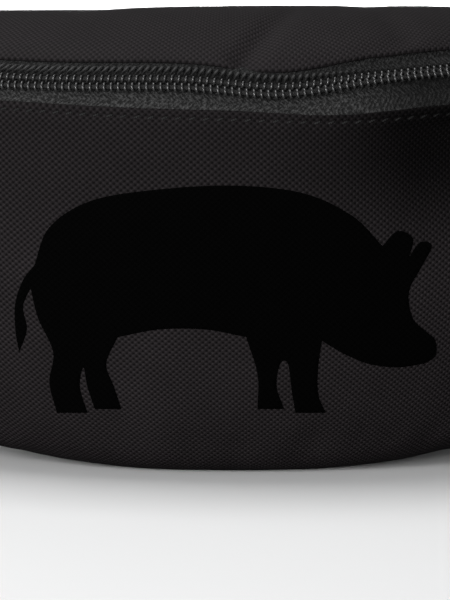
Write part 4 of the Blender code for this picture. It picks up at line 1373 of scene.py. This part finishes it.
def makeInsert(place, half, slotHalf, inside):
    size = buckleSize
    last, flange = size["insertEnd"], size["mouth"] + size["gap"]
    outline = [(flange, 0.0198), (0.0120, 0.0200), (0.0200, 0.0200), (last, 0.0192)]
    body = plateMesh([roundedOutline(mirrored(outline), 2.6 * mm)], size["thick"], 2.2 * mm, 4)
    insert = joinMeshes("buckleInsert", [(body, place)])
    slot = last - size["bar"]
    blocks = [((slot - size["slot"], -slotHalf, -0.02), (slot, slotHalf, 0.02), 0.8 * mm)]
    blocks += [barCut(last - size["bar"] / 2, slotHalf, face) for face in (-1, 1)]
    cutFrom(insert, blocks, place)
    dress(insert, "buckle", "insert", ("buckle_insert",))
    thick = 2 * (inside - size["clear"])
    wide = half - size["wall"] - mm - size["clear"]
    root = flange + 3 * mm
    arm = [
        (root, wide - 4.6 * mm), (root, wide - 0.4 * mm), (0.0000, wide - 0.2 * mm), (-0.0042, wide),
        (-0.0155, wide), (-0.0165, wide - 1.2 * mm), (-0.0160, wide - 4.2 * mm),
        (-0.0060, wide - 3.4 * mm), (0.0, wide - 3.9 * mm),
    ]
    tongue = mirrored([(-0.0160, 0.0030), (-0.0140, 0.0045), (root, 0.0045)])
    parts = [(plateMesh([roundedOutline(tongue, mm)], thick, 0.6 * mm, 3), place)]
    deep = thick / 2 - 0.9 * mm
    for turn in (1, -1):
        outline = [(x, turn * y) for x, y in arm]
        parts.append((plateMesh([roundedOutline(outline, 1.2 * mm)], thick, 0.7 * mm, 3), place))
        for k in range(5):
            x = -0.0148 + 1.9 * mm * k
            rib = blockMesh((x, -0.25 * mm, -deep), (x + 0.9 * mm, 0.35 * mm, deep), 0.2 * mm, 2)
            parts.append((rib, place @ Matrix.Translation((0, turn * wide, 0))))
    dress(joinMeshes("buckleArms", parts), "buckle", "insert")


keeper = {"at": 0.078, "long": 0.012, "thick": 1.2 * mm, "lift": 0.5 * mm}


def makeKeeper(rear, half):
    halfWide = webbing["wrap"] + webbing["thick"] / 2 + 0.5 * mm
    tall = webbing["width"] / 2 + 1.6 * mm
    outlines = []
    for grow in (keeper["thick"], 0):
        w, h = halfWide + grow, tall + grow
        outlines.append(roundedOutline([(-w, -h), (w, -h), (w, h), (-w, h)], 2.5 * mm + grow, 8))
    loop = plateMesh(outlines, keeper["long"], 0.4 * mm, 3)
    at = Matrix.Translation((keeper["at"], rear - webbing["wrap"], half + keeper["lift"]))
    turned = Matrix(((0, 0, 1, 0), (1, 0, 0, 0), (0, 1, 0, 0), (0, 0, 0, 1)))
    dress(joinMeshes("beltKeeper", [(loop, at @ turned)]), "elastic", "insert", ("belt_keeper",))


def makeBuckle():
    half, inside = buckleSize["width"] / 2, buckleSize["thick"] / 2 - buckleSize["wall"]
    rear = beltPath(1, 0.02, 0.01, False)[2]
    place = standing(Vector((0, rear - webbing["wrap"], half)))
    slotHalf = webbing["width"] / 2 + 1.2 * mm
    makeSocket(place, half, slotHalf, inside)
    makeInsert(place, half, slotHalf, inside)
    makeKeeper(rear, half)


# slider and its pull, in the slider's own axes: x along the zip, y up the band, z out from it
sliderSize = {
    "angle": radians(40), "long": 0.0125, "plate": 1.1 * mm, "inner": 3.1 * mm, "under": 1.2 * mm,
    "eye": 1.9 * mm, "rod": 0.6 * mm, "linkAt": -0.3 * mm,
    "pullLong": 0.034, "pullWide": 8.5 * mm, "pullThick": 1.7 * mm,
}


def sliderPlace():
    depth, height = foot + pouch["zipBand"] / 2 * bandUp
    a = sliderSize["angle"]
    outwards = Vector((sin(a), -cos(a), 0))
    along = Vector((cos(a), sin(a), 0))
    across = -outwards * bandUp[0] + Vector((0, 0, bandUp[1]))
    out = -outwards * bandOut[0] + Vector((0, 0, bandOut[1]))
    matrix = Matrix((along, across, out)).transposed().to_4x4()
    matrix.translation = Vector((0, axisY, height)) + outwards * (pouch["frontRadius"] - depth)
    return matrix


def makeSlider():
    size = sliderSize
    place = sliderPlace()
    half, top, plate = size["long"] / 2, size["inner"] + size["plate"], size["plate"]
    shape = [
        (-half, 0.0032), (-half + mm, 0.0044), (-0.0005, 0.0046), (0.0026, 0.0052),
        (half - 1.6 * mm, 0.0052), (half, 0.0034), (half - 0.5 * mm, 0.0012),
    ]
    outline = roundedOutline(mirrored(shape), 0.9 * mm)
    crown = [(0.0042, 0.0), (0.0040, 0.0018), (0.0026, 0.0030)]
    eyeHole = [(0.0029, 0.0001), (0.0027, 0.0012), (0.0020, 0.0019)]
    arches = []
    for arch, turn in ((crown, 0.9 * mm), (eyeHole, 0.5 * mm)):
        arches.append(roundedOutline([(-x, y) for x, y in arch] + arch[::-1], turn))
    bridge = plateMesh(arches, 2.4 * mm, 0.35 * mm, 3)
    low, high = (half - 3.5 * mm, -0.7 * mm, -1.8 * mm), (half - 0.8 * mm, 0.7 * mm, 3.6 * mm)
    parts = [
        (plateMesh([outline], plate, 0.35 * mm, 3), raised(top - plate / 2)),
        (plateMesh([outline], plate, 0.3 * mm, 3), raised(-size["under"] - plate / 2)),
        (bridge, standing(Vector((0, 0, top - 0.15 * mm)))),
        (blockMesh(low, high, 0.3 * mm), Matrix.Identity(4)),
    ]
    flange = [
        (-half + 0.4 * mm, 0.0036), (-half + 0.8 * mm, 0.0046), (0.0, 0.0047), (0.0028, 0.0052),
        (half - 1.6 * mm, 0.0051), (half - 1.0 * mm, 0.0044), (0.0028, 0.0043), (-0.0002, 0.0037),
    ]
    groove = [(-0.0046, 0.0026), (0.0040, 0.0034), (0.0040, 0.0041), (-0.0046, 0.0034)]
    for side in (-1, 1):
        for shape, deep, at in ((flange, 2.2 * mm, 2.2 * mm), (groove, 0.5 * mm, top)):
            edge = roundedOutline([(x, side * y) for x, y in shape], 0.3 * mm)
            parts.append((plateMesh([edge], deep, 0.15 * mm, 2), raised(at)))
    parts = [(mesh, place @ matrix) for mesh, matrix in parts]
    dress(joinMeshes("zipSlider", parts), "slider", "slider", ("zip_slider",))
    makePull(place @ Matrix.Translation((size["linkAt"], 0, top + size["eye"] / 2)))


def makePull(at):
    long, wide = sliderSize["pullLong"], sliderSize["pullWide"] / 2
    loop = [(0, -2.7 * mm), (0, 2.7 * mm), (-9.5 * mm, 1.9 * mm), (-9.5 * mm, -1.9 * mm)]
    loop = roundedOutline(loop, 1.2 * mm, 6)
    loop = np.array([(x, y, 0) for x, y in loop + loop[:1]])
    run = runOf(loop)
    path = alongLine(loop, run, np.linspace(0, run[-1], 90))
    link = loftPiece("pullLink", [tubeRings(path, sliderSize["rod"], 12, 1.0)])
    body = mirrored([
        (-long, 2.6 * mm), (-long + 1.8 * mm, wide), (-long + 9 * mm, wide),
        (-0.0125, wide - 1.1 * mm), (-0.0066, 0.0026),
    ])
    body = roundedOutline(body, 2.2 * mm)
    hole = roundedOutline(mirrored([(-0.0106, 1.9 * mm), (-0.0085, 2.2 * mm)]), 0.6 * mm)
    grip = [(-long + 1.7 * mm, 2.4 * mm), (-long + 2.6 * mm, wide - 1.1 * mm), (-0.0150, wide - 1.8 * mm)]
    grip = roundedOutline(mirrored(grip), 1.0 * mm)
    parts = [(plateMesh([body, hole], sliderSize["pullThick"], 0.5 * mm, 3), at), (link.data, at)]
    for face in (-1, 1):
        rim = plateMesh([body, grip], 0.5 * mm, 0.2 * mm, 2)
        parts.append((rim, at @ raised(face * 0.75 * mm)))
        for k in range(5):
            x = -long + 5.0 * mm + 2.3 * mm * k
            rib = blockMesh((x, -2.3 * mm, -0.25 * mm), (x + 1.1 * mm, 2.3 * mm, 0.25 * mm), 0.2 * mm, 2)
            parts.append((rib, at @ raised(face * 0.85 * mm)))
    pull = joinMeshes("zipPull", parts)
    bpy.data.objects.remove(link)
    dress(pull, "pull", "puller", ("zip_puller",))


makeBackPad()
makeLining()
makeZipEnds()
makeBindings()
print("back, lining and ends made")
makeWings()
makeBelts()
makeBuckle()
print("wings, belt and buckle made")
makeSlider()
print("slider made")


# floor, light and camera
def makeStage():
    floorMaterial, tree, shader = startMaterial("paleFloor", 0.85, 0.2)
    speckle = put(tree, "TexNoise", (bodyVector(tree), None, 4.0, 3.0))
    colour = mixed(tree, speckle, grey(0.74), grey(0.78))
    seen = put(tree, "LightPath")
    tree.links.new(mixed(tree, seen, grey(0.30), colour), shader.inputs["Base Color"])
    floor = meshPiece(
        "floor", [(-12, -12, 0), (12, -12, 0), (12, 12, 0), (-12, 12, 0)], [[0, 1, 2, 3]],
        [(0, 0), (1, 0), (1, 1), (0, 1)],
    )
    floor.data.materials.append(floorMaterial)
    world = bpy.data.worlds.new("studio")
    world.use_nodes = True
    world.node_tree.nodes["Background"].inputs[0].default_value = (0.93, 0.94, 0.96, 1)
    world.node_tree.nodes["Background"].inputs[1].default_value = 0.26
    scene.world = world
    lamps = {
        "keyLamp": {"at": (-0.95, -0.95, 0.55), "size": 0.5, "power": 12},
        "topLamp": {"at": (-0.3, 0.1, 1.3), "size": 0.8, "power": 11},
        "lowLamp": {"at": (-0.4, -1.4, 0.14), "size": 0.7, "power": 23.5},
        "rimLamp": {"at": (0.3, 1.6, 0.08), "size": 0.4, "power": 26},
    }
    for name, lamp in lamps.items():
        light = bpy.data.lights.new(name, "AREA")
        light.energy = lamp["power"]
        light.size = lamp["size"]
        holder = newPiece(name, light)
        holder.location = lamp["at"]
        holder.rotation_euler = (Vector((0, 0, 0.06)) - holder.location).to_track_quat("-Z", "Y").to_euler()
        holder.visible_camera = False
    camera = bpy.data.cameras.new("camera")
    camera.lens = shot["lens"]
    camera.clip_start, camera.clip_end = 0.05, 60
    holder = newPiece("camera", camera)
    holder.location = eye
    holder.rotation_euler = sight.to_track_quat("-Z", "Y").to_euler()
    scene.camera = holder
    scene.view_settings.view_transform = "Standard"


makeStage()
print("stage made")
